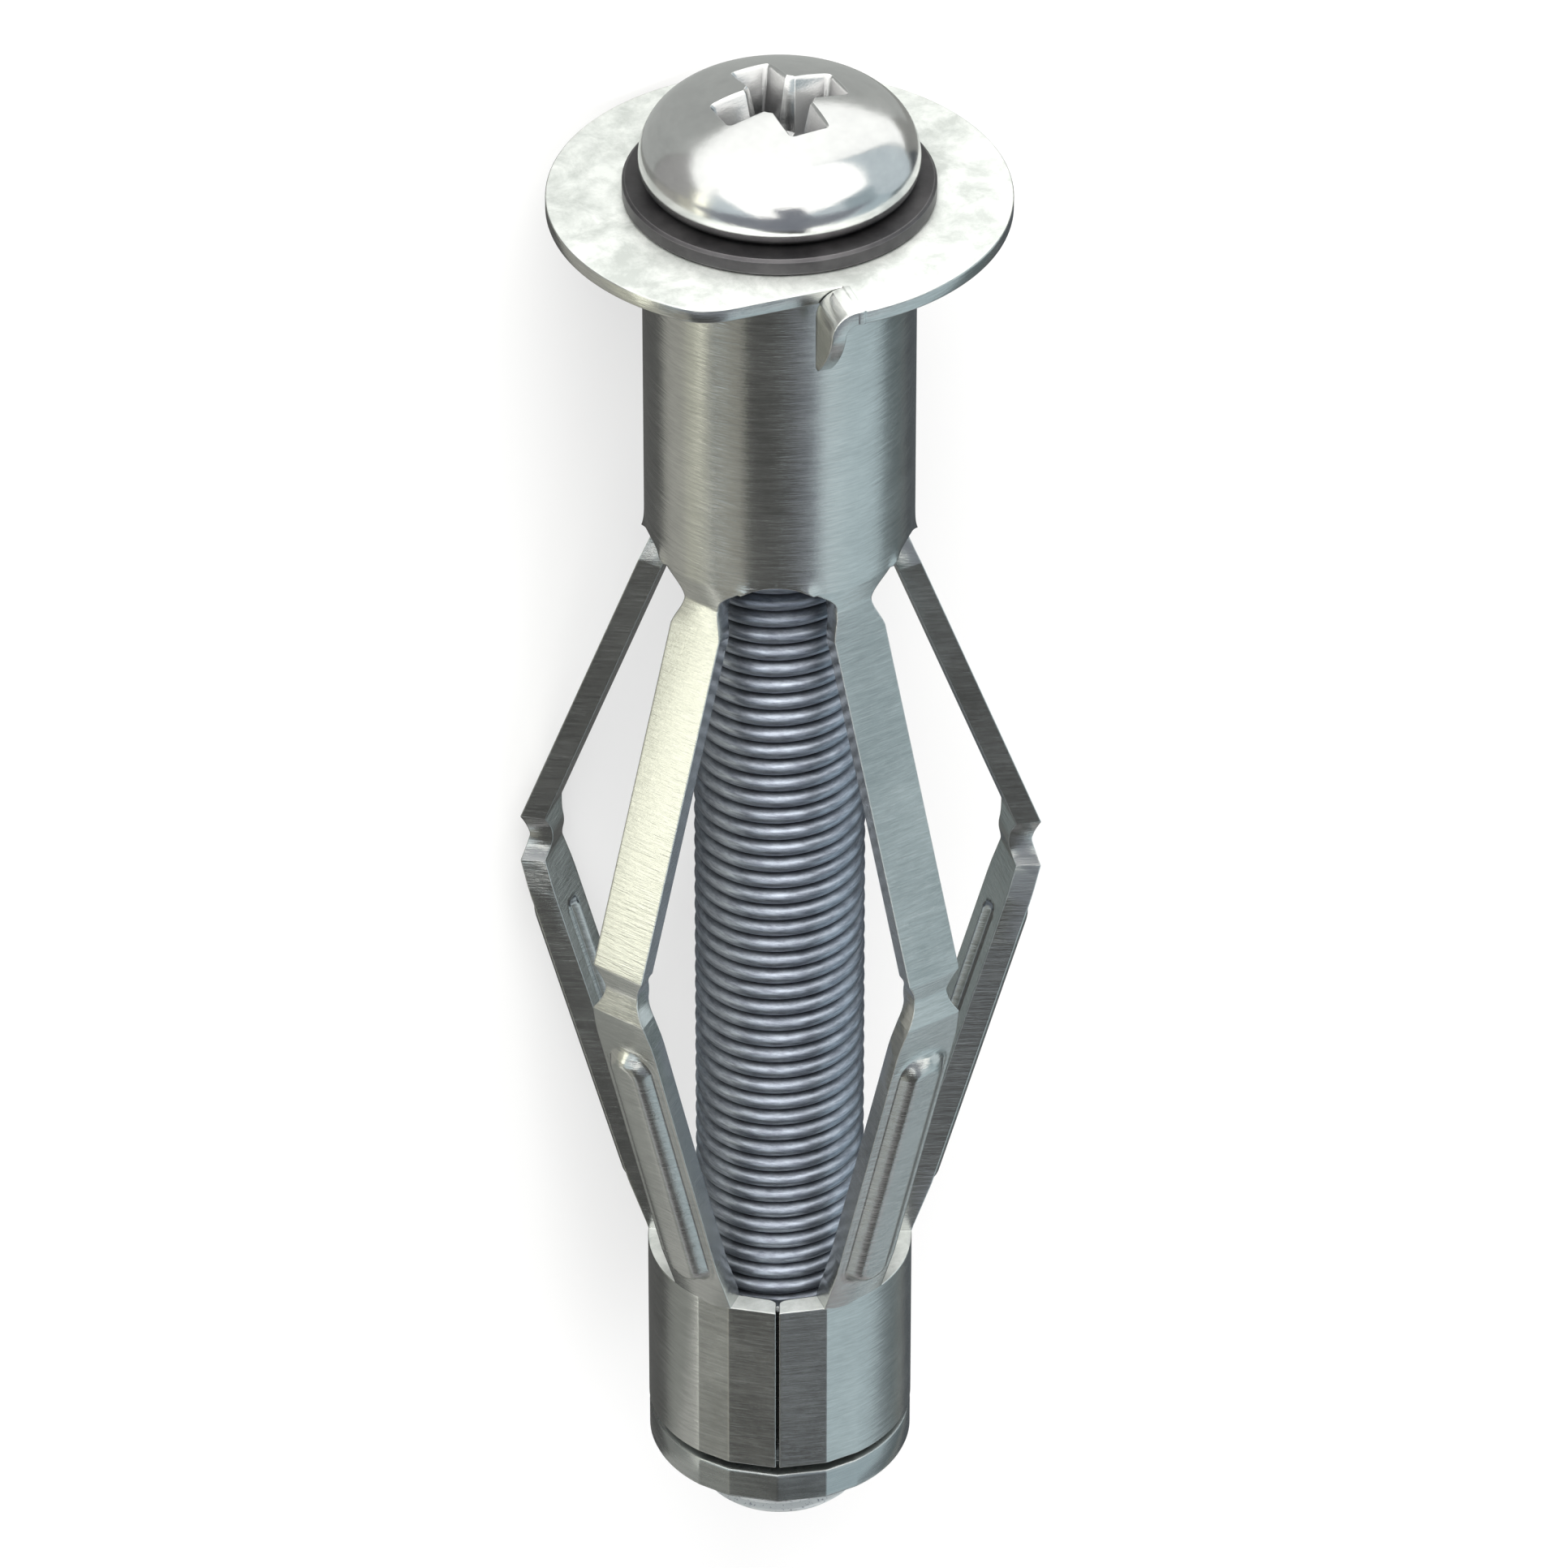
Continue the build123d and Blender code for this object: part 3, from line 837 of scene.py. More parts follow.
def neck_and_knee_width(sizes, height):
    """Width of a leg at one height: it narrows to a round waist at the neck and at the knee."""
    shoulder = sizes.collar_length + sizes.neck_length
    knee_end = sizes.knee_height + sizes.knee_length
    petal = 2 * sizes.collar_radius * sin(petal_turn(sizes))
    if height < shoulder:
        share = max(0.0, (height - sizes.collar_length) / sizes.neck_length)
        width, waist = petal + (sizes.arm_width - petal) * share, sizes.neck_waist
    elif height < sizes.knee_height:
        return sizes.arm_width
    elif height < knee_end:
        share = (height - sizes.knee_height) / sizes.knee_length
        width, waist = sizes.arm_width + (sizes.shin_start_width - sizes.arm_width) * share, sizes.knee_waist
    else:
        share = min(1.0, (height - knee_end) / sizes.shin_flare)
        return sizes.shin_start_width + (sizes.shin_width - sizes.shin_start_width) * share
    return width + (waist - width) * sin(pi * share)


def shin_ends(sizes):
    """Both ends of the lower leg's outer line, as (radius, height)."""
    knee = Vector((sizes.knee_radius, sizes.knee_height))
    return knee + Vector((0, sizes.knee_length)), Vector((sizes.band_radius, sizes.band_height))


def rib_lift(sizes, along, across, run, half_width, height, edge):
    """Height of one long mound with round ends, such as the rib, at one place of the lower leg."""
    first = sizes.rib_top_margin + sizes.rib_width / 2
    last = run - sizes.rib_foot_margin - sizes.rib_width / 2
    beyond = max(first - along, along - last, 0.0)
    return height * round_steps((1 - hypot(beyond, across) / half_width) / edge)


def leg_lines(sizes):
    """The outer and inner lines of a leg as (radius, height) rows, from the petal to the band."""
    out = sizes.collar_radius
    start = sizes.collar_length
    knee = Vector((sizes.knee_radius, sizes.knee_height))
    shin, foot = shin_ends(sizes)
    corners = [
        Vector((out, start - sizes.petal_block)),
        Vector((out, start)),
        Vector((out + sizes.shoulder_rise / 2 - sizes.neck_dip, start + sizes.neck_length / 2)),
        Vector((out + sizes.shoulder_rise, start + sizes.neck_length)),
        knee,
        knee + Vector((-sizes.knee_dip, sizes.knee_length / 2)),
        shin,
        foot + (foot - shin).normalized() * sizes.tenon_length,
    ]
    runs = [even(4), even(6), even(6), even(16), even(5), even(5), SHIN_SHARES]
    outer = bent_rows(corners, [bend * MM for bend in OUTER_BENDS], runs)
    inner = bent_rows(inset_corners(corners, sizes.sheet), [bend * MM for bend in INNER_BENDS], runs)
    return outer, inner


def collar_shape(sizes):
    """Rows of the collar: outer radius and height, inner radius and height, from the mouth to the petals."""
    outer = sizes.collar_radius
    inner = outer - sizes.sheet
    top = -sizes.flange_thickness
    end = sizes.collar_length - sizes.petal_block
    rows = [
        (outer + 0.3 * MM, top * 0.5, inner + 0.4 * MM, top * 0.985),
        (outer + 0.25 * MM, 0.0, inner + 0.19 * MM, top * 0.7),
        (outer + 0.1 * MM, 0.06 * MM, inner + 0.06 * MM, top * 0.45),
        (outer + 0.02 * MM, 0.17 * MM, inner, top * 0.2),
        (outer, 0.3 * MM, inner, 0.3 * MM),
    ]
    return rows + [(outer, end * share, inner, end * share) for share in (0.1, 0.35, 0.6, 0.85)]


def add_leg(sheet, sizes, angle, columns, sides):
    """One fifth of the collar with its leg: columns run across the leg, and sides to the next windows."""
    radius = sizes.collar_radius
    wall = sizes.sheet
    petal_half = petal_turn(sizes)
    outer_rows, inner_rows = leg_lines(sizes)
    ahead, across = leg_axes(angle)
    up = Vector((0, 1, 0))

    def pair(bases, normal, turn, lift=0.0, hollow=0.0, crown=1.0):
        bend = ahead * normal.x + up * normal.y
        points = []
        for base, curve, raised in zip(bases, (radius, radius - wall), (lift, hollow)):
            point = ahead * base.x + up * base.y
            point += across * (curve * sin(turn)) - bend * (curve * (1 - cos(turn)) * crown - raised)
            points.append(point)
        return sheet.point(*points)

    turns = [-turn for turn in reversed(sides)] + [petal_half * share for share in columns] + sides
    collar_rows = []
    for outer_radius, outer_height, inner_radius, inner_height in collar_shape(sizes):
        row = []
        for turn in turns:
            aside = ahead * cos(turn) + across * sin(turn)
            row.append(sheet.point(
                aside * outer_radius + up * outer_height, aside * inner_radius + up * inner_height))
        collar_rows.append(row)

    petal_start = outer_rows[0].y
    arch_row = min(range(len(outer_rows)), key=lambda i: abs(outer_rows[i].y - sizes.collar_length))
    for i in range(arch_row + 1):
        share = i / arch_row
        row = []
        for turn in turns:
            reach = radius * sin(pi / LEGS - max(abs(turn), petal_half))
            drop = sizes.arch_radius - sqrt(sizes.arch_radius**2 - reach**2)
            arch = sizes.collar_length - sizes.arch_rise + drop
            place = (abs(turn) - petal_half - BARB_PLACE) / BARB_SPREAD
            barb = sizes.barb * share**3 * exp(-place**2)
            base = Vector((outer_rows[i].x, petal_start + (arch - petal_start) * share))
            row.append(pair((base, base - Vector((wall, 0))), Vector((1, 0)), turn, barb, barb))
        collar_rows.append(row)
    sheet.grid(collar_rows)

    shin, foot = shin_ends(sizes)
    run = (foot - shin).length
    slope = (foot - shin).normalized()
    leg_rows = [collar_rows[-1][len(sides):len(sides) + len(columns)]]
    for bases, normal in list(zip(zip(outer_rows, inner_rows), row_normals(outer_rows)))[arch_row + 1:]:
        height = bases[0].y
        half = neck_and_knee_width(sizes, height) / 2
        along = (bases[0] - shin).dot(slope)
        flattened = min(
            1.0, (height - sizes.collar_length) / sizes.neck_length, (run - along) / sizes.foot_bend)
        crown = 1 - (1 - sizes.crown) * max(0.0, flattened)
        row = []
        for share in columns:
            aside = half * share
            rib, step, groove = (
                rib_lift(sizes, along, aside, run, half_width, rise, edge) for half_width, rise, edge in (
                    (sizes.rib_width / 2, sizes.rib_height, RIB_EDGE),
                    (sizes.rib_width / 2 + sizes.rib_step_width, sizes.rib_step_height, STEP_EDGE),
                    (sizes.groove_width / 2, sizes.groove_depth, GROOVE_EDGE)))
            row.append(pair(bases, normal, asin(aside / radius), rib + step, groove, crown))
        leg_rows.append(row)
    sheet.grid(leg_rows)


def make_legs(sizes):
    """The collar and the five legs, as one sheet."""
    sheet = Sheet()
    columns = [-share for share in reversed(LEG_COLUMNS[1:])] + LEG_COLUMNS
    petal = petal_turn(sizes)
    side_steps = 9
    sides = [petal + (pi / LEGS - petal) * i / side_steps for i in range(1, side_steps + 1)]
    for leg in range(LEGS):
        add_leg(sheet, sizes, leg * 2 * pi / LEGS, columns, sides)
    return sheet.closed_object("legs", sizes.edge)


def creases(sizes):
    """Angles of the creases between the flats, from the slit."""
    return -sizes.outer_crease, -sizes.inner_crease, 0.0, sizes.inner_crease, sizes.outer_crease


def crease_columns(sizes, angles):
    """Two columns close to each crease, which keep it crisp."""
    step = CREASE_STEP / sizes.band_radius
    return [angle + side for angle in angles for side in (-step, step)]


def back_columns(sizes):
    """Angles of the columns on the round back, between the two outer creases."""
    start = sizes.outer_crease + CREASE_STEP / sizes.band_radius
    return [start + (2 * pi - 2 * start) * i / ROUND_STEPS for i in range(1, ROUND_STEPS)]


def band_radius_at(sizes, angle):
    """Outer radius of the band: round, with flats between the crease angles beside the slit."""
    aside = (angle - sizes.slit_angle + pi) % (2 * pi) - pi
    bounds = creases(sizes)
    for first, second in zip(bounds, bounds[1:]):
        if first <= aside <= second:
            half = (second - first) / 2
            return sizes.band_radius * cos(half) / cos(aside - first - half)
    return sizes.band_radius


def band_angles(sizes):
    """Angles of the band's columns, round from one side of the slit to the other."""
    half_slit = sizes.slit_width / 2 / sizes.band_radius
    front = [half_slit + radians(step) for step in (0, 0.5, 1.2, 2.1, 3.2, 4.6)]
    front += crease_columns(sizes, (sizes.inner_crease, sizes.outer_crease))
    return front + back_columns(sizes) + [2 * pi - angle for angle in reversed(front)]


def make_band(sizes):
    """The band round the nut, with its slit and flats."""
    sheet = Sheet()
    bore = sizes.band_radius - sizes.sheet
    bend = 0.5 * MM
    rows = []
    for height in (sizes.band_height, sizes.band_height + sizes.band_length):
        row = []
        for angle in band_angles(sizes):
            gap = min(angle, 2 * pi - angle) * bore
            turned = bend - sqrt(bend**2 - max(0.0, bend - gap) ** 2)
            place = sizes.slit_angle + angle
            row.append(sheet.point(
                around(band_radius_at(sizes, place), height, place), around(bore + turned, height, place)))
        rows.append(row)
    sheet.grid(rows)
    return sheet.closed_object("band", 0.06 * MM)


def rim_outline(sizes):
    """Angles and radii of half the flange's rim, from one claw's notch round to the next claw."""
    rim = sizes.flange_radius
    cut_end = Vector((cos(sizes.notch_angle), sin(sizes.notch_angle))) * rim
    cut_start = Vector((sizes.notch_depth, 0))
    along = (cut_end - cut_start).normalized()
    inwards = Vector((-along.y, along.x))
    bend = sizes.notch_corner
    start = cut_start + inwards * bend
    shift = -start.dot(along) + sqrt(start.dot(along) ** 2 - start.length_squared + (rim - bend) ** 2)
    centre = start + along * shift
    first = atan2(-inwards.y, -inwards.x)
    last = atan2(centre.y, centre.x)
    line_steps, bend_steps, rim_steps = 8, 8, 60
    points = [cut_start + along * (shift * i / line_steps) for i in range(line_steps)]
    for i in range(bend_steps + 1):
        angle = first + (last - first) * i / bend_steps
        points.append(centre + Vector((cos(angle), sin(angle))) * bend)
    for i in range(1, rim_steps + 1):
        angle = last + (pi - last) * i / rim_steps
        points.append(Vector((cos(angle), sin(angle))) * rim)
    return [(atan2(point.y, point.x) % (2 * pi), point.length) for point in points]


def make_flange(sizes):
    """The flange's plate with its two notches."""
    sheet = Sheet()
    front = -sizes.flange_thickness
    hole = sizes.collar_radius - sizes.sheet / 2

    def pair(radius, angle):
        return sheet.point(around(radius, front, angle), around(radius, 0, angle))

    for claw in range(CLAWS):
        turn = sizes.claw_angle + claw * 2 * pi / CLAWS
        outline = rim_outline(sizes)
        for (angle, radius), (next_angle, next_radius) in zip(outline, outline[1:]):
            face = [pair(hole, turn + angle), pair(hole, turn + next_angle)]
            if next_angle == outline[-1][0]:
                face.append(pair(sizes.notch_depth, turn + next_angle))
            face += [pair(next_radius, turn + next_angle), pair(radius, turn + angle)]
            sheet.quads.append(tuple(face))
    return sheet.closed_object("flange", sizes.edge)


def claw_reach(sizes, height):
    """Distance of a claw's outer edge from the axis at one height."""
    rim = sizes.flange_radius - CLAW_SKIN
    share = max(0.0, (height - sizes.claw_bend) / (sizes.claw_depth - sizes.claw_bend))
    tip = sizes.claw_root + sizes.claw_tip
    return rim + (tip - rim) * share + sizes.claw_bow * 4 * share * (1 - share)


def make_claw(sizes, angle):
    """One claw: a tongue of the flange, bent towards the board and cut to a fin."""
    sheet = Sheet()
    inner_bend = sizes.claw_bend + CLAW_SKIN
    outer_bend = sizes.claw_bend + sizes.flange_thickness - CLAW_SKIN
    centre = sizes.claw_bend
    overlap = 0.3 * MM
    bend_steps, fin_steps, across_steps = 8, 10, 6
    skins = [((-overlap, centre - outer_bend), (-overlap, centre - inner_bend))]
    for i in range(bend_steps + 1):
        turn = pi / 2 * i / bend_steps
        skins.append([(bend * sin(turn), centre - bend * cos(turn)) for bend in (outer_bend, inner_bend)])
    for i in range(1, fin_steps + 1):
        height = centre + (sizes.claw_depth - centre) * i / fin_steps
        skins.append(((outer_bend, height), (inner_bend, height)))
    ahead, across = leg_axes(angle)
    up = Vector((0, 1, 0))
    rows = []
    for pair in skins:
        row = []
        for i in range(across_steps + 1):
            points = []
            for aside, height in pair:
                reach = sizes.claw_root + (claw_reach(sizes, height) - sizes.claw_root) * i / across_steps
                points.append(ahead * reach + across * aside + up * height)
            row.append(sheet.point(*points))
        rows.append(row)
    sheet.grid(rows)
    return sheet.closed_object("claw", sizes.edge)


class ANCHOR_OT_sleeve(bpy.types.Operator):
    """Fold the sleeve from its sheet and finish it in bright zinc"""

    bl_idname = "anchor.sleeve"
    bl_label = "Sleeve"

    def execute(self, context):
        scene = context.scene
        sizes = scene.anchor_sleeve
        sleeve = make_legs(sizes)
        combine(sleeve, make_band(sizes), "UNION")
        combine(sleeve, make_flange(sizes), "UNION")
        for claw in range(CLAWS):
            combine(sleeve, make_claw(sizes, sizes.claw_angle + claw * 2 * pi / CLAWS), "UNION")
        sleeve.name = "folded_sleeve"
        sleeve.data.name = "folded_sleeve"
        foot = sizes.band_height
        shade_by_area(sleeve, radians(40), (foot - 0.02 * MM, foot + 0.6 * MM, radians(9)))
        sleeve.data.materials.clear()
        sleeve.data.materials.append(sheet_finish(scene.anchor_colours))
        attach(sleeve, "anchor")
        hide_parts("sleeve")
        return {"FINISHED"}


# The nut


def make_nut(sleeve, sizes):
    """The nut: a body inside the band, and a ring whose flats grow towards its end."""
    angles = crease_columns(sleeve, creases(sleeve)) + back_columns(sleeve)
    edge = sizes.ring_edge
    corner = 0.3 * edge
    low, high = sizes.ring_start, sizes.ring_end
    ring = sizes.ring_radius
    profile = [
        (sizes.body_radius - edge, sizes.body_start),
        (sizes.body_radius, sizes.body_start + edge),
        (sizes.body_radius, low),
        (ring - edge, low),
        (ring - corner, low + corner),
        (ring, low + edge),
        (ring, high - edge),
        (ring - corner, high - corner),
        (ring - edge, high),
        (sizes.bore_radius + sizes.bore_bevel, high),
        (sizes.bore_radius, high - sizes.bore_bevel),
        (sizes.bore_radius, sizes.body_start + sizes.bore_bevel),
        (sizes.bore_radius + sizes.bore_bevel, sizes.body_start),
    ]
    bm = bmesh.new()
    rings = []
    for radius, height in profile:
        flat = max(0.0, (height - low) / (high - low)) ** 2 if radius > sizes.body_radius else 0.0
        row = []
        for angle in angles:
            place = sleeve.slit_angle + angle
            shrink = 1 - flat * (1 - band_radius_at(sleeve, place) / sleeve.band_radius)
            row.append(bm.verts.new(around(radius * shrink, height, place)))
        rings.append(row)
    skin_rings(bm, rings + rings[:1])
    return add_object("ringed_nut", to_mesh(bm, "ringed_nut"))


class ANCHOR_OT_nut(bpy.types.Operator):
    """Turn the nut with its half-faceted ring and finish it in zinc"""

    bl_idname = "anchor.nut"
    bl_label = "Nut"

    def execute(self, context):
        scene = context.scene
        nut = make_nut(scene.anchor_sleeve, scene.anchor_nut)
        shade_by_area(nut, radians(40))
        nut.data.materials.append(nut_finish(scene.anchor_colours))
        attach(nut, "anchor")
        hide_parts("nut")
        return {"FINISHED"}


# Finishes


def set_input(tree, made, key, value):
    """Feeds one input of a node with a value or with another node's output."""
    if isinstance(value, bpy.types.NodeSocket):
        tree.links.new(value, made.inputs[key])
    else:
        made.inputs[key].default_value = value


def add_node(tree, kind, inputs=None, **settings):
    """Adds one node, sets it up and feeds its inputs."""
    made = tree.nodes.new(kind)
    for key, value in settings.items():
        setattr(made, key, value)
    for key, value in (inputs or {}).items():
        set_input(tree, made, key, value)
    return made


def math_node(tree, operation, *values):
    """One Math node, as its output."""
    return add_node(tree, "ShaderNodeMath", dict(enumerate(values)), operation=operation).outputs[0]


def spread(tree, value, low, high, to_low=0.0, to_high=1.0):
    """Maps a range of values to another one, and holds it at the ends."""
    return add_node(tree, "ShaderNodeMapRange", {
        "Value": value, "From Min": low, "From Max": high, "To Min": to_low, "To Max": to_high,
    }).outputs["Result"]


def mix_colour(tree, share, first, second):
    """Mixes two colours by a share."""
    made = add_node(tree, "ShaderNodeMix", {0: share}, data_type="RGBA")
    for key, value in ((6, first), (7, second)):
        set_input(tree, made, key, value if isinstance(value, bpy.types.NodeSocket) else (*value[:3], 1))
    return made.outputs[2]


def part_place(tree):
    """Places on the piece, in metres."""
    return add_node(tree, "ShaderNodeTexCoord").outputs["Object"]


def noise(tree, stretch, detail, roughness=0.55, distortion=0.0):
    """A noise pattern whose grain is one over the stretch, in millimetres, along each axis."""
    if not isinstance(stretch, tuple):
        stretch = (stretch,) * 3
    place = add_node(tree, "ShaderNodeMapping", {
        "Vector": part_place(tree), "Scale": tuple(factor / MM for factor in stretch),
    }).outputs["Vector"]
    return add_node(tree, "ShaderNodeTexNoise", {
        "Vector": place, "Scale": 1.0, "Detail": detail, "Roughness": roughness, "Distortion": distortion,
    }).outputs["Fac"]


def shelter(tree, distance):
    """One where nothing is near the surface, and less in corners and hollows."""
    return add_node(tree, "ShaderNodeAmbientOcclusion", {"Distance": distance}, samples=6).outputs["AO"]


def blank_tree(owner):
    """The emptied node tree of a material or world."""
    owner.use_nodes = True
    owner.node_tree.nodes.clear()
    return owner.node_tree


def new_finish(name):
    """An empty node material with its shader and output."""
    finish = bpy.data.materials.new(name)
    tree = blank_tree(finish)
    shader = add_node(tree, "ShaderNodeBsdfPrincipled")
    add_node(tree, "ShaderNodeOutputMaterial", {"Surface": shader.outputs["BSDF"]})
    return finish, tree, shader


def edge_mask(tree, radius):
    """Where the surface bends within the radius, up to one on edges, and its rounded normal."""
    rounded = add_node(tree, "ShaderNodeBevel", {"Radius": radius}, samples=6).outputs["Normal"]
    normal = add_node(tree, "ShaderNodeNewGeometry").outputs["Normal"]
    same = add_node(tree, "ShaderNodeVectorMath", {0: rounded, 1: normal}, operation="DOT_PRODUCT")
    return spread(tree, same.outputs["Value"], 0.995, 0.9), rounded


def axis_height(tree):
    """Height along the axis, in metres."""
    return add_node(tree, "ShaderNodeSeparateXYZ", {"Vector": part_place(tree)}).outputs["Y"]


def axis_distance(tree):
    """Distance from the axis, in metres."""
    level = add_node(tree, "ShaderNodeVectorMath", {0: part_place(tree), 1: (1, 0, 1)}, operation="MULTIPLY")
    return add_node(tree, "ShaderNodeVectorMath", {0: level.outputs[0]}, operation="LENGTH").outputs["Value"]


def faces_axis(tree):
    """One where the surface looks along the axis, as the flange and the cut rims do."""
    normal = add_node(tree, "ShaderNodeNewGeometry").outputs["True Normal"]
    parts = add_node(tree, "ShaderNodeSeparateXYZ", {"Vector": normal})
    return spread(tree, math_node(tree, "ABSOLUTE", parts.outputs["Y"]), 0.9, 0.98)


def add_relief(tree, shader, height, rounded, depth):
    """Gives the finish a fine relief over its rounded edges."""
    bump = add_node(tree, "ShaderNodeBump", {
        "Height": height, "Normal": rounded, "Strength": 1.0, "Distance": depth,
    })
    tree.links.new(bump.outputs["Normal"], shader.inputs["Normal"])


def plated(name, light, dark, painted_shade, stroke, gloss, edge_radius, stroke_depth, painted_shade_range=(0.6, 0.1)):
    """Zinc plate: clouds, strokes across the sheet, fine grain, edges lightened as rubbed zinc and painted
    highlight, and painted shade in the folds.
    """
    finish, tree, shader = new_finish(name)
    clouds = noise(tree, 0.28, 6, 0.62, 0.4)
    strokes = noise(tree, stroke, 5, 0.6)
    hairlines = noise(tree, tuple(3 * factor for factor in stroke), 3, 0.5)
    grain = noise(tree, 9, 2)
    edges, rounded = edge_mask(tree, edge_radius)

    patches = spread(tree, clouds, 0.36, 0.66)
    lines = spread(tree, strokes, 0.3, 0.7)
    fine = spread(tree, hairlines, 0.32, 0.68)
    tone = math_node(tree, "MULTIPLY_ADD", lines, 0.35, math_node(tree, "MULTIPLY", patches, 0.35))
    tone = math_node(tree, "MULTIPLY_ADD", fine, 0.3, tone)
    # Edges lightened: partly rubbed zinc, partly a painted highlight along the rims
    bright = tuple(min(1.0, 1.35 * part) for part in light)
    plate = mix_colour(tree, tone, dark, light)
    glinting_wear = mix_colour(tree, math_node(tree, "MULTIPLY", edges, 0.65), plate, bright)
    # Painted shade: ambient occlusion darkens the colour in folds, hollows and between parts
    painted_shade_share = math_node(
        tree, "MULTIPLY", spread(tree, shelter(tree, 0.9 * MM), *painted_shade_range),
        spread(tree, clouds, 0.25, 0.6, 0.45, 0.8))
    tree.links.new(mix_colour(tree, painted_shade_share, glinting_wear, painted_shade), shader.inputs["Base Color"])

    shader.inputs["Metallic"].default_value = 1.0
    haze = math_node(tree, "MULTIPLY_ADD", clouds, 0.5, math_node(tree, "MULTIPLY", strokes, 0.5))
    tree.links.new(spread(tree, haze, 0.3, 0.7, *gloss), shader.inputs["Roughness"])

    relief = math_node(tree, "MULTIPLY_ADD", hairlines, 0.35, strokes)
    relief = math_node(tree, "MULTIPLY_ADD", grain, 0.12, relief)
    add_relief(tree, shader, relief, rounded, stroke_depth)
    return finish, tree, shader


def add_haze(tree, shader, where, amount):
    """Makes the finish rougher in one place."""
    plain = shader.inputs["Roughness"].links[0].from_socket
    tree.links.new(math_node(tree, "MULTIPLY_ADD", where, amount, plain), shader.inputs["Roughness"])


def recolour(tree, shader, where, colour):
    """Gives the finish another colour in one place."""
    plain = shader.inputs["Base Color"].links[0].from_socket
    tree.links.new(mix_colour(tree, where, plain, colour), shader.inputs["Base Color"])


def sheet_finish(colours):
    """Bright rolled sheet, with a matt skin where it was pressed flat or cut."""
    finish, tree, shader = plated(
        "sleeve_zinc", colours.sheet_light, colours.sheet_dark, colours.painted_shade,
        stroke=(0.5, 6.0, 0.5), gloss=(0.15, 0.28), edge_radius=0.07 * MM, stroke_depth=0.017 * MM)
    pressed = faces_axis(tree)
    mottling = spread(tree, noise(tree, 0.6, 6, 0.7, 0.3), 0.38, 0.62)
    add_haze(tree, shader, pressed, 0.2)
    recolour(tree, shader, pressed, mix_colour(tree, mottling, colours.pressed_dark, colours.pressed_light))
    tree.links.new(math_node(tree, "MULTIPLY_ADD", pressed, -0.3, 1.0), shader.inputs["Metallic"])
    return finish


def nut_finish(colours):
    """Duller zinc on turned steel."""
    return plated(
        "nut_zinc", colours.nut_light, colours.nut_dark, colours.painted_shade,
        stroke=(0.3, 6.0, 0.3), gloss=(0.2, 0.34), edge_radius=0.08 * MM, stroke_depth=0.005 * MM)[0]


def screw_finish(colours, sizes):
    """Polished head, a zinc thread painted darker and bluer than the head as shade and sky reflection,
    painted shade in the recess and thread roots, and a pale speckled end.
    """
    finish, tree, shader = plated(
        "screw_zinc", colours.head_light, colours.head_dark, colours.painted_shade,
        stroke=(0.5, 1.2, 0.5), gloss=(0.13, 0.24), edge_radius=0.05 * MM, stroke_depth=0.009 * MM,
        painted_shade_range=(0.8, 0.3))
    # Painted shade: the recess darkens where its walls shelter it
    recolour(tree, shader, spread(tree, shelter(tree, 2.2 * MM), 0.85, 0.35, 0.0, 0.85), colours.recess_dark)

    height = axis_height(tree)
    on_shank = math_node(tree, "GREATER_THAN", height, SCREW_LOW.y + sizes.head_diameter / 2)
    # The thread's zinc, painted darker and bluer than the head as shade and sky reflection
    along_turns = spread(tree, noise(tree, (1.2, 9.0, 1.2), 4, 0.7), 0.36, 0.64)
    thread = mix_colour(tree, along_turns, colours.shaded_shank_dark, colours.shaded_shank_light)
    crest = sizes.crest_diameter / 2
    # Painted shade: the thread roots darken towards the painted shade colour
    in_root = spread(tree, axis_distance(tree), crest - 0.12 * MM, crest - 0.4 * MM, 0.0, 0.75)
    recolour(tree, shader, on_shank, mix_colour(tree, in_root, thread, colours.painted_shade))
    add_haze(tree, shader, on_shank, 0.22)

    specks = spread(tree, noise(tree, 7, 3, 0.6), 0.33, 0.4)
    at_tip = spread(tree, height, SCREW_HIGH.y - 2.3 * MM, SCREW_HIGH.y - 1.7 * MM)
    recolour(tree, shader, at_tip, mix_colour(tree, specks, colours.shaded_shank_dark, colours.tip_pale))
    tree.links.new(math_node(tree, "MULTIPLY_ADD", at_tip, -0.6, 1.0), shader.inputs["Metallic"])
    return finish


def washer_finish(colours):
    """Dark satin oxide, lightened at the edges as rubbed oxide and painted highlight."""
    finish, tree, shader = new_finish("washer_dark")
    clouds = noise(tree, 0.5, 5, 0.6)
    edges, rounded = edge_mask(tree, 0.09 * MM)
    oxide = mix_colour(tree, spread(tree, clouds, 0.35, 0.65), colours.washer_dark, colours.washer_light)
    # Edges lightened: partly rubbed oxide, partly a painted highlight along the rims
    glinting_wear = tuple(2.6 * part for part in colours.washer_light)
    glinting_wear_share = math_node(tree, "MULTIPLY", edges, 0.7)
    tree.links.new(mix_colour(tree, glinting_wear_share, oxide, glinting_wear), shader.inputs["Base Color"])
    shader.inputs["Metallic"].default_value = 0.85
    tree.links.new(spread(tree, clouds, 0.3, 0.7, 0.34, 0.5), shader.inputs["Roughness"])
    add_relief(tree, shader, noise(tree, 7, 3), rounded, 0.004 * MM)
    return finish


def dress(node, finish):
    """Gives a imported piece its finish."""
    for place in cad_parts[node].material_slots:
        place.material = finish


class ANCHOR_OT_washer(bpy.types.Operator):
    """Finish the washer in dark oxide"""

    bl_idname = "anchor.washer"
    bl_label = "Washer"

    def execute(self, context):
        dress("washer", washer_finish(context.scene.anchor_colours))
        return {"FINISHED"}


# The stage


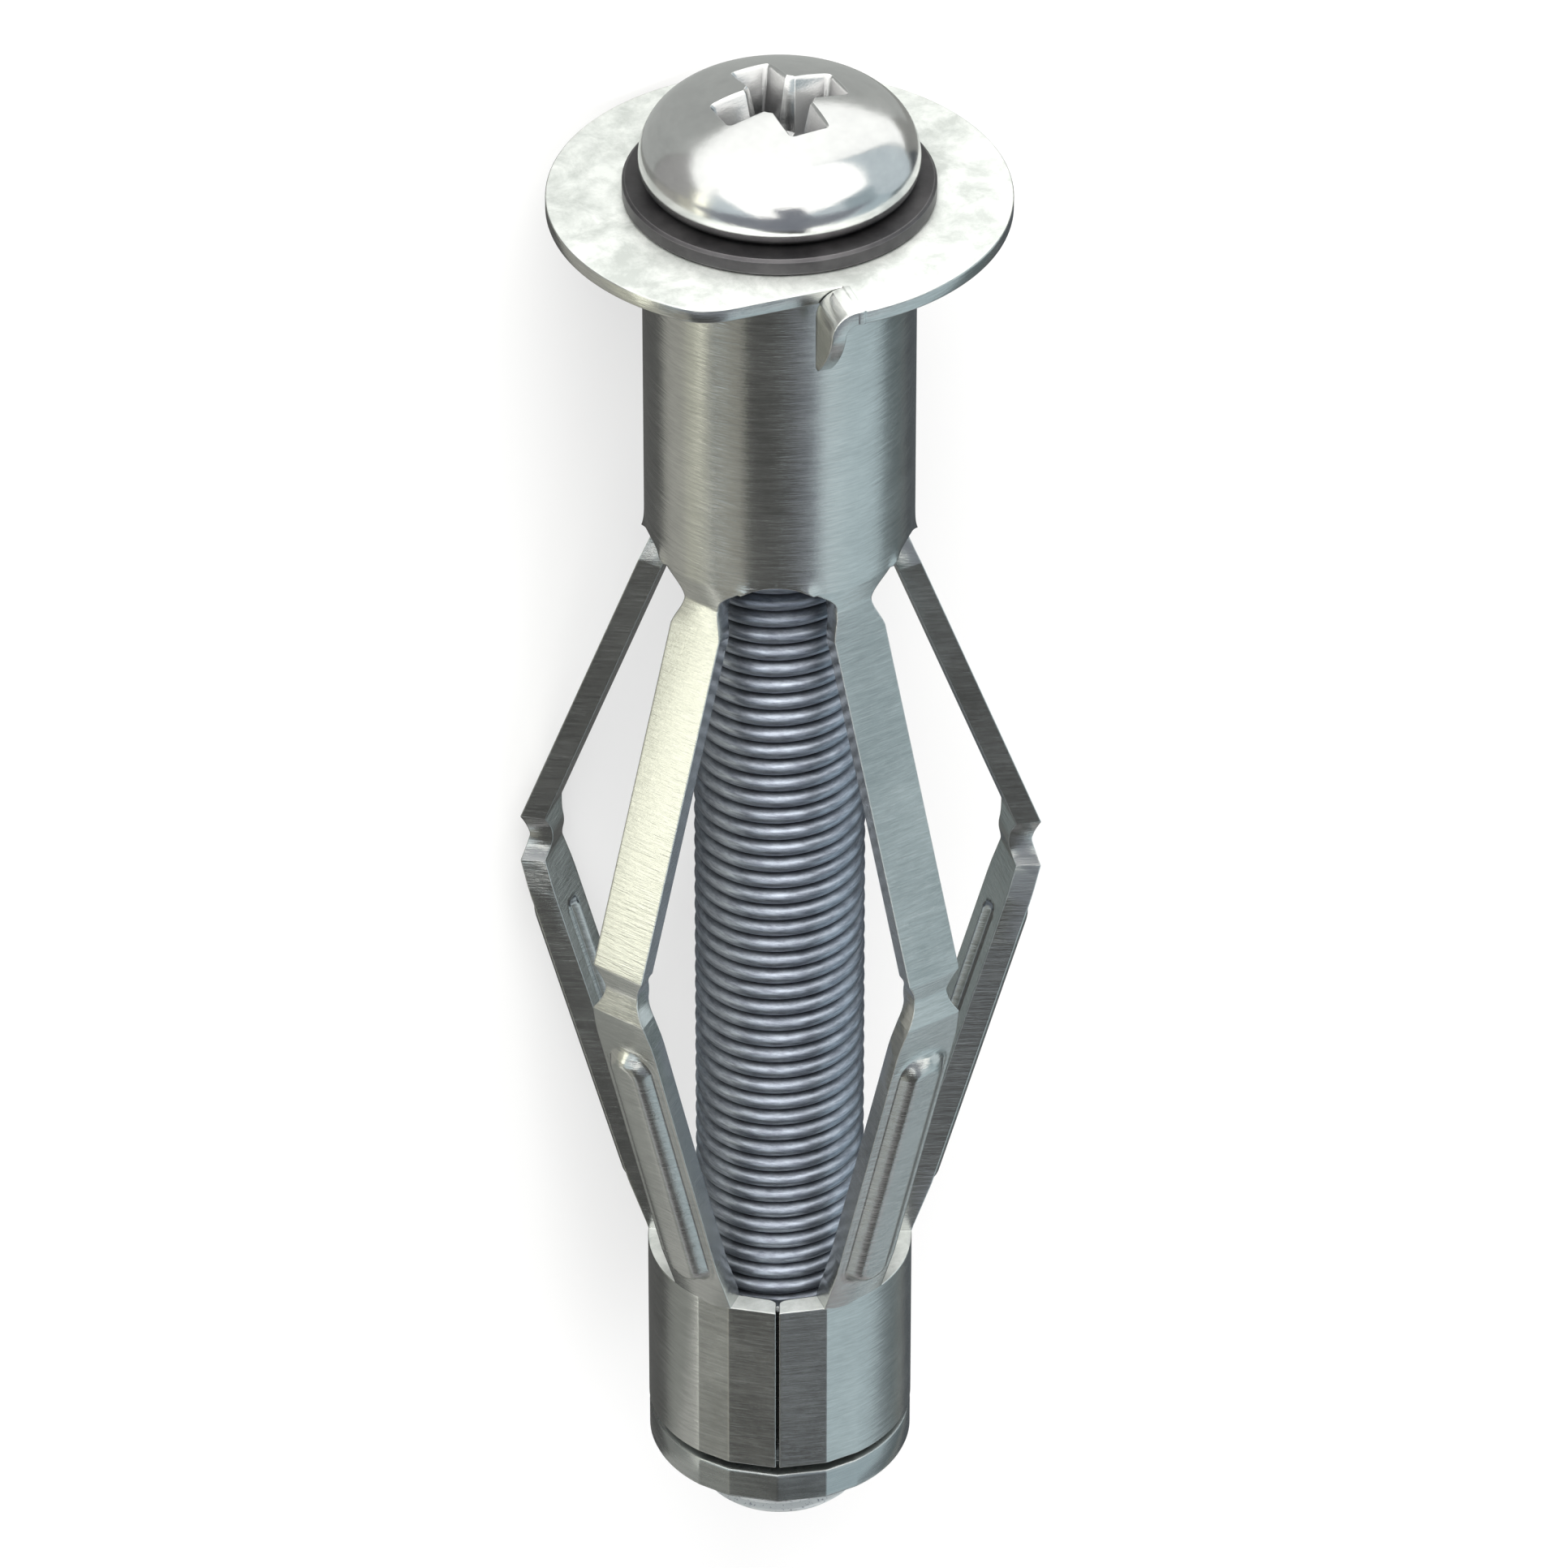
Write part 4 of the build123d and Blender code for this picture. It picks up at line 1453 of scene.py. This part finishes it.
def seen_directly(tree):
    """One for rays from the camera, mirrored rays and rays through glass."""
    path = add_node(tree, "ShaderNodeLightPath")
    seen = math_node(tree, "MAXIMUM", path.outputs["Is Camera Ray"], path.outputs["Is Glossy Ray"])
    return math_node(tree, "MAXIMUM", seen, path.outputs["Is Transmission Ray"])


def for_mirrors(tree, plain, mirrored):
    """Shows one shader to mirrored rays and another one to all others."""
    glossy = add_node(tree, "ShaderNodeLightPath").outputs["Is Glossy Ray"]
    return add_node(tree, "ShaderNodeMixShader", {0: glossy, 1: plain, 2: mirrored}).outputs[0]


def studio_direction(stage, azimuth, elevation):
    """A direction round the part: azimuth from the camera's side to its right, elevation to the head."""
    turn = stage.part_turn
    front = Vector((sin(turn), 0, cos(turn)))
    right = Vector((-cos(turn), 0, sin(turn)))
    level = front * cos(azimuth) + right * sin(azimuth)
    return level * cos(elevation) - Vector((0, sin(elevation), 0))


def facing_matrix(stage, azimuth, elevation, distance):
    """Puts something round the part, so that it faces the part's middle."""
    away = studio_direction(stage, azimuth, elevation)
    turned = away.to_track_quat("Z", "Y").to_matrix().to_4x4()
    return Matrix.Translation(PART_MIDDLE + away * distance) @ turned


def shade_matrix(stage, height, start, end, width):
    """Places a card square to the axis, in front of the part, from one distance to another."""
    front = studio_direction(stage, 0, 0)
    right = studio_direction(stage, pi / 2, 0)
    axes = Matrix((right * width, front * (end - start), Vector((0, 1, 0)))).transposed().to_4x4()
    return Matrix.Translation(front * ((start + end) / 2) + Vector((0, height, 0))) @ axes


def floor_matrix(ground, low, high):
    """Places a card just above the floor, between two corners."""
    lift = 0.05 * MM
    middle = Vector(((low[0] + high[0]) / 2, (low[1] + high[1]) / 2, ground + lift))
    return Matrix.Translation(middle) @ Matrix.Diagonal((high[0] - low[0], high[1] - low[1], 1, 1))


def flat_square(name, side):
    """A flat square as a new object."""
    bm = bmesh.new()
    bmesh.ops.create_grid(bm, x_segments=1, y_segments=1, size=side / 2)
    return add_object(name, to_mesh(bm, name))


def add_card(name, placed, colour):
    """A card that only mirrored rays see: it shades the metal as a studio flag does."""
    card = flat_square(name, 1)
    card.matrix_world = placed
    paint = bpy.data.materials.new(name)
    tree = blank_tree(paint)
    strength = max(colour)
    tint = [part / strength for part in colour]
    glow = add_node(tree, "ShaderNodeEmission", {"Color": (*tint, 1), "Strength": strength})
    add_node(tree, "ShaderNodeOutputMaterial", {"Surface": glow.outputs["Emission"]})
    card.data.materials.append(paint)
    card.visible_camera = False
    card.visible_diffuse = False
    card.visible_shadow = False
    card.visible_transmission = False
    card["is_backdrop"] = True


def add_lamp(stage, name, azimuth, elevation):
    """One soft square lamp that faces the middle of the part."""
    light = bpy.data.lights.new(name, "AREA")
    light.shape = "SQUARE"
    light.size = stage.lamp_size
    light.energy = stage.lamp_power
    light.color = stage.lamp_colour
    lamp = bpy.data.objects.new(name, light)
    bpy.context.scene.collection.objects.link(lamp)
    lamp.matrix_world = facing_matrix(stage, azimuth, elevation, stage.lamp_distance)
    lamp.visible_camera = False


def make_floor(stage, height):
    """A matt floor that the camera sees nearly white and the metal mirrors in its own colour."""
    ground = flat_square("floor", stage.floor_size)
    ground.location.z = height
    paint = bpy.data.materials.new("floor")
    tree = blank_tree(paint)
    matt = add_node(tree, "ShaderNodeBsdfDiffuse", {"Color": (0.86, 0.86, 0.86, 1)})
    glow = add_node(tree, "ShaderNodeEmission", {"Color": (1, 1, 1, 1), "Strength": 1.0})
    mirrored = add_node(tree, "ShaderNodeBsdfDiffuse", {"Color": (*stage.floor_in_metal, 1)})
    share = math_node(tree, "MULTIPLY", seen_directly(tree), stage.floor_glow)
    plain = add_node(tree, "ShaderNodeMixShader", {0: share, 1: matt.outputs[0], 2: glow.outputs[0]})
    surface = for_mirrors(tree, plain.outputs[0], mirrored.outputs[0])
    add_node(tree, "ShaderNodeOutputMaterial", {"Surface": surface})
    ground.data.materials.append(paint)
    ground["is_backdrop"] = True


def make_world(stage):
    """Even white light, a white background, and a pale sky where the metal mirrors it."""
    world = bpy.data.worlds.new("studio")
    tree = blank_tree(world)
    even_light, white, mirrored = (
        add_node(tree, "ShaderNodeBackground", {"Color": (*colour, 1), "Strength": strength}).outputs[0]
        for colour, strength in (
            ((1, 1, 1), stage.fill_light), ((1, 1, 1), 1.0), (stage.sky_in_metal, 1.0)))
    plain = add_node(tree, "ShaderNodeMixShader", {0: seen_directly(tree), 1: even_light, 2: white})
    surface = for_mirrors(tree, plain.outputs[0], mirrored)
    add_node(tree, "ShaderNodeOutputWorld", {"Surface": surface})
    bpy.context.scene.world = world


def make_camera(stage):
    """The camera at the photograph's angle, looking down on the lying part."""
    front = studio_direction(stage, 0, 0)
    right = studio_direction(stage, pi / 2, 0)
    headwards = Vector((0, -1, 0))
    tilt = stage.camera_elevation
    forward = -(front * cos(tilt) + headwards * sin(tilt))
    up = headwards * cos(tilt) - front * sin(tilt)
    data = bpy.data.cameras.new("photo_camera")
    data.lens = stage.lens
    data.sensor_width = 36
    data.clip_start = 0.01
    data.clip_end = 20
    camera = bpy.data.objects.new("photo_camera", data)
    bpy.context.scene.collection.objects.link(camera)
    turned = Matrix((right, up, -forward)).transposed().to_4x4()
    place = right * stage.camera_side + front * stage.camera_front + headwards * stage.camera_height
    camera.matrix_world = Matrix.Translation(place) @ turned
    bpy.context.scene.camera = camera


class ANCHOR_OT_stage(bpy.types.Operator):
    """Lay the floor, hang the lamp and cards and place the camera"""

    bl_idname = "anchor.stage"
    bl_label = "Stage"

    def execute(self, context):
        stage = context.scene.anchor_stage
        ground = min(CAD_BOX[0][2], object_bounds()[0][2])
        make_floor(stage, ground)
        make_world(stage)
        make_camera(stage)
        add_lamp(stage, "window_top", radians(-10), radians(62))
        for name, azimuth, elevation, distance, width, height, colour in CARDS:
            placed = facing_matrix(stage, radians(azimuth), radians(elevation), distance)
            add_card(name, placed @ Matrix.Diagonal((width, height, 1, 1)), colour)
        placed = shade_matrix(stage, height=4 * MM, start=17 * MM, end=0.2, width=0.12)
        add_card("thread_shade", placed, (0.28, 0.3, 0.34))
        for name, low, high, colour in FLOOR_CARDS:
            add_card(name, floor_matrix(ground, low, high), colour)
        context.scene.view_settings.view_transform = "Standard"
        return {"FINISHED"}


class ANCHOR_PT_panel(bpy.types.Panel):
    """Lists the anchor's pieces and stage"""

    bl_idname = "ANCHOR_PT_panel"
    bl_label = "Hollow wall anchor"
    bl_space_type = "VIEW_3D"
    bl_region_type = "UI"
    bl_category = "Anchor"

    def draw(self, context):
        for piece in OPERATORS:
            self.layout.operator(piece.bl_idname)


OPERATORS = (ANCHOR_OT_screw, ANCHOR_OT_sleeve, ANCHOR_OT_nut, ANCHOR_OT_washer, ANCHOR_OT_stage)
GROUPS = {
    "anchor_screw": ScrewSizes,
    "anchor_sleeve": SleeveSizes,
    "anchor_nut": NutSizes,
    "anchor_colours": FinishColours,
    "anchor_stage": StageSettings,
}
CLASSES = (*GROUPS.values(), *OPERATORS, ANCHOR_PT_panel)


def register():
    for each in CLASSES:
        bpy.utils.register_class(each)
    for name, group in GROUPS.items():
        setattr(bpy.types.Scene, name, PointerProperty(type=group))


def unregister():
    for name in GROUPS:
        delattr(bpy.types.Scene, name)
    for each in reversed(CLASSES):
        bpy.utils.unregister_class(each)


def main():
    """Builds the dressed anchor piece by piece."""
    register()
    bpy.ops.anchor.screw()
    bpy.ops.anchor.sleeve()
    bpy.ops.anchor.nut()
    bpy.ops.anchor.washer()
    bpy.ops.anchor.stage()


if __name__ == "__main__":
    main()
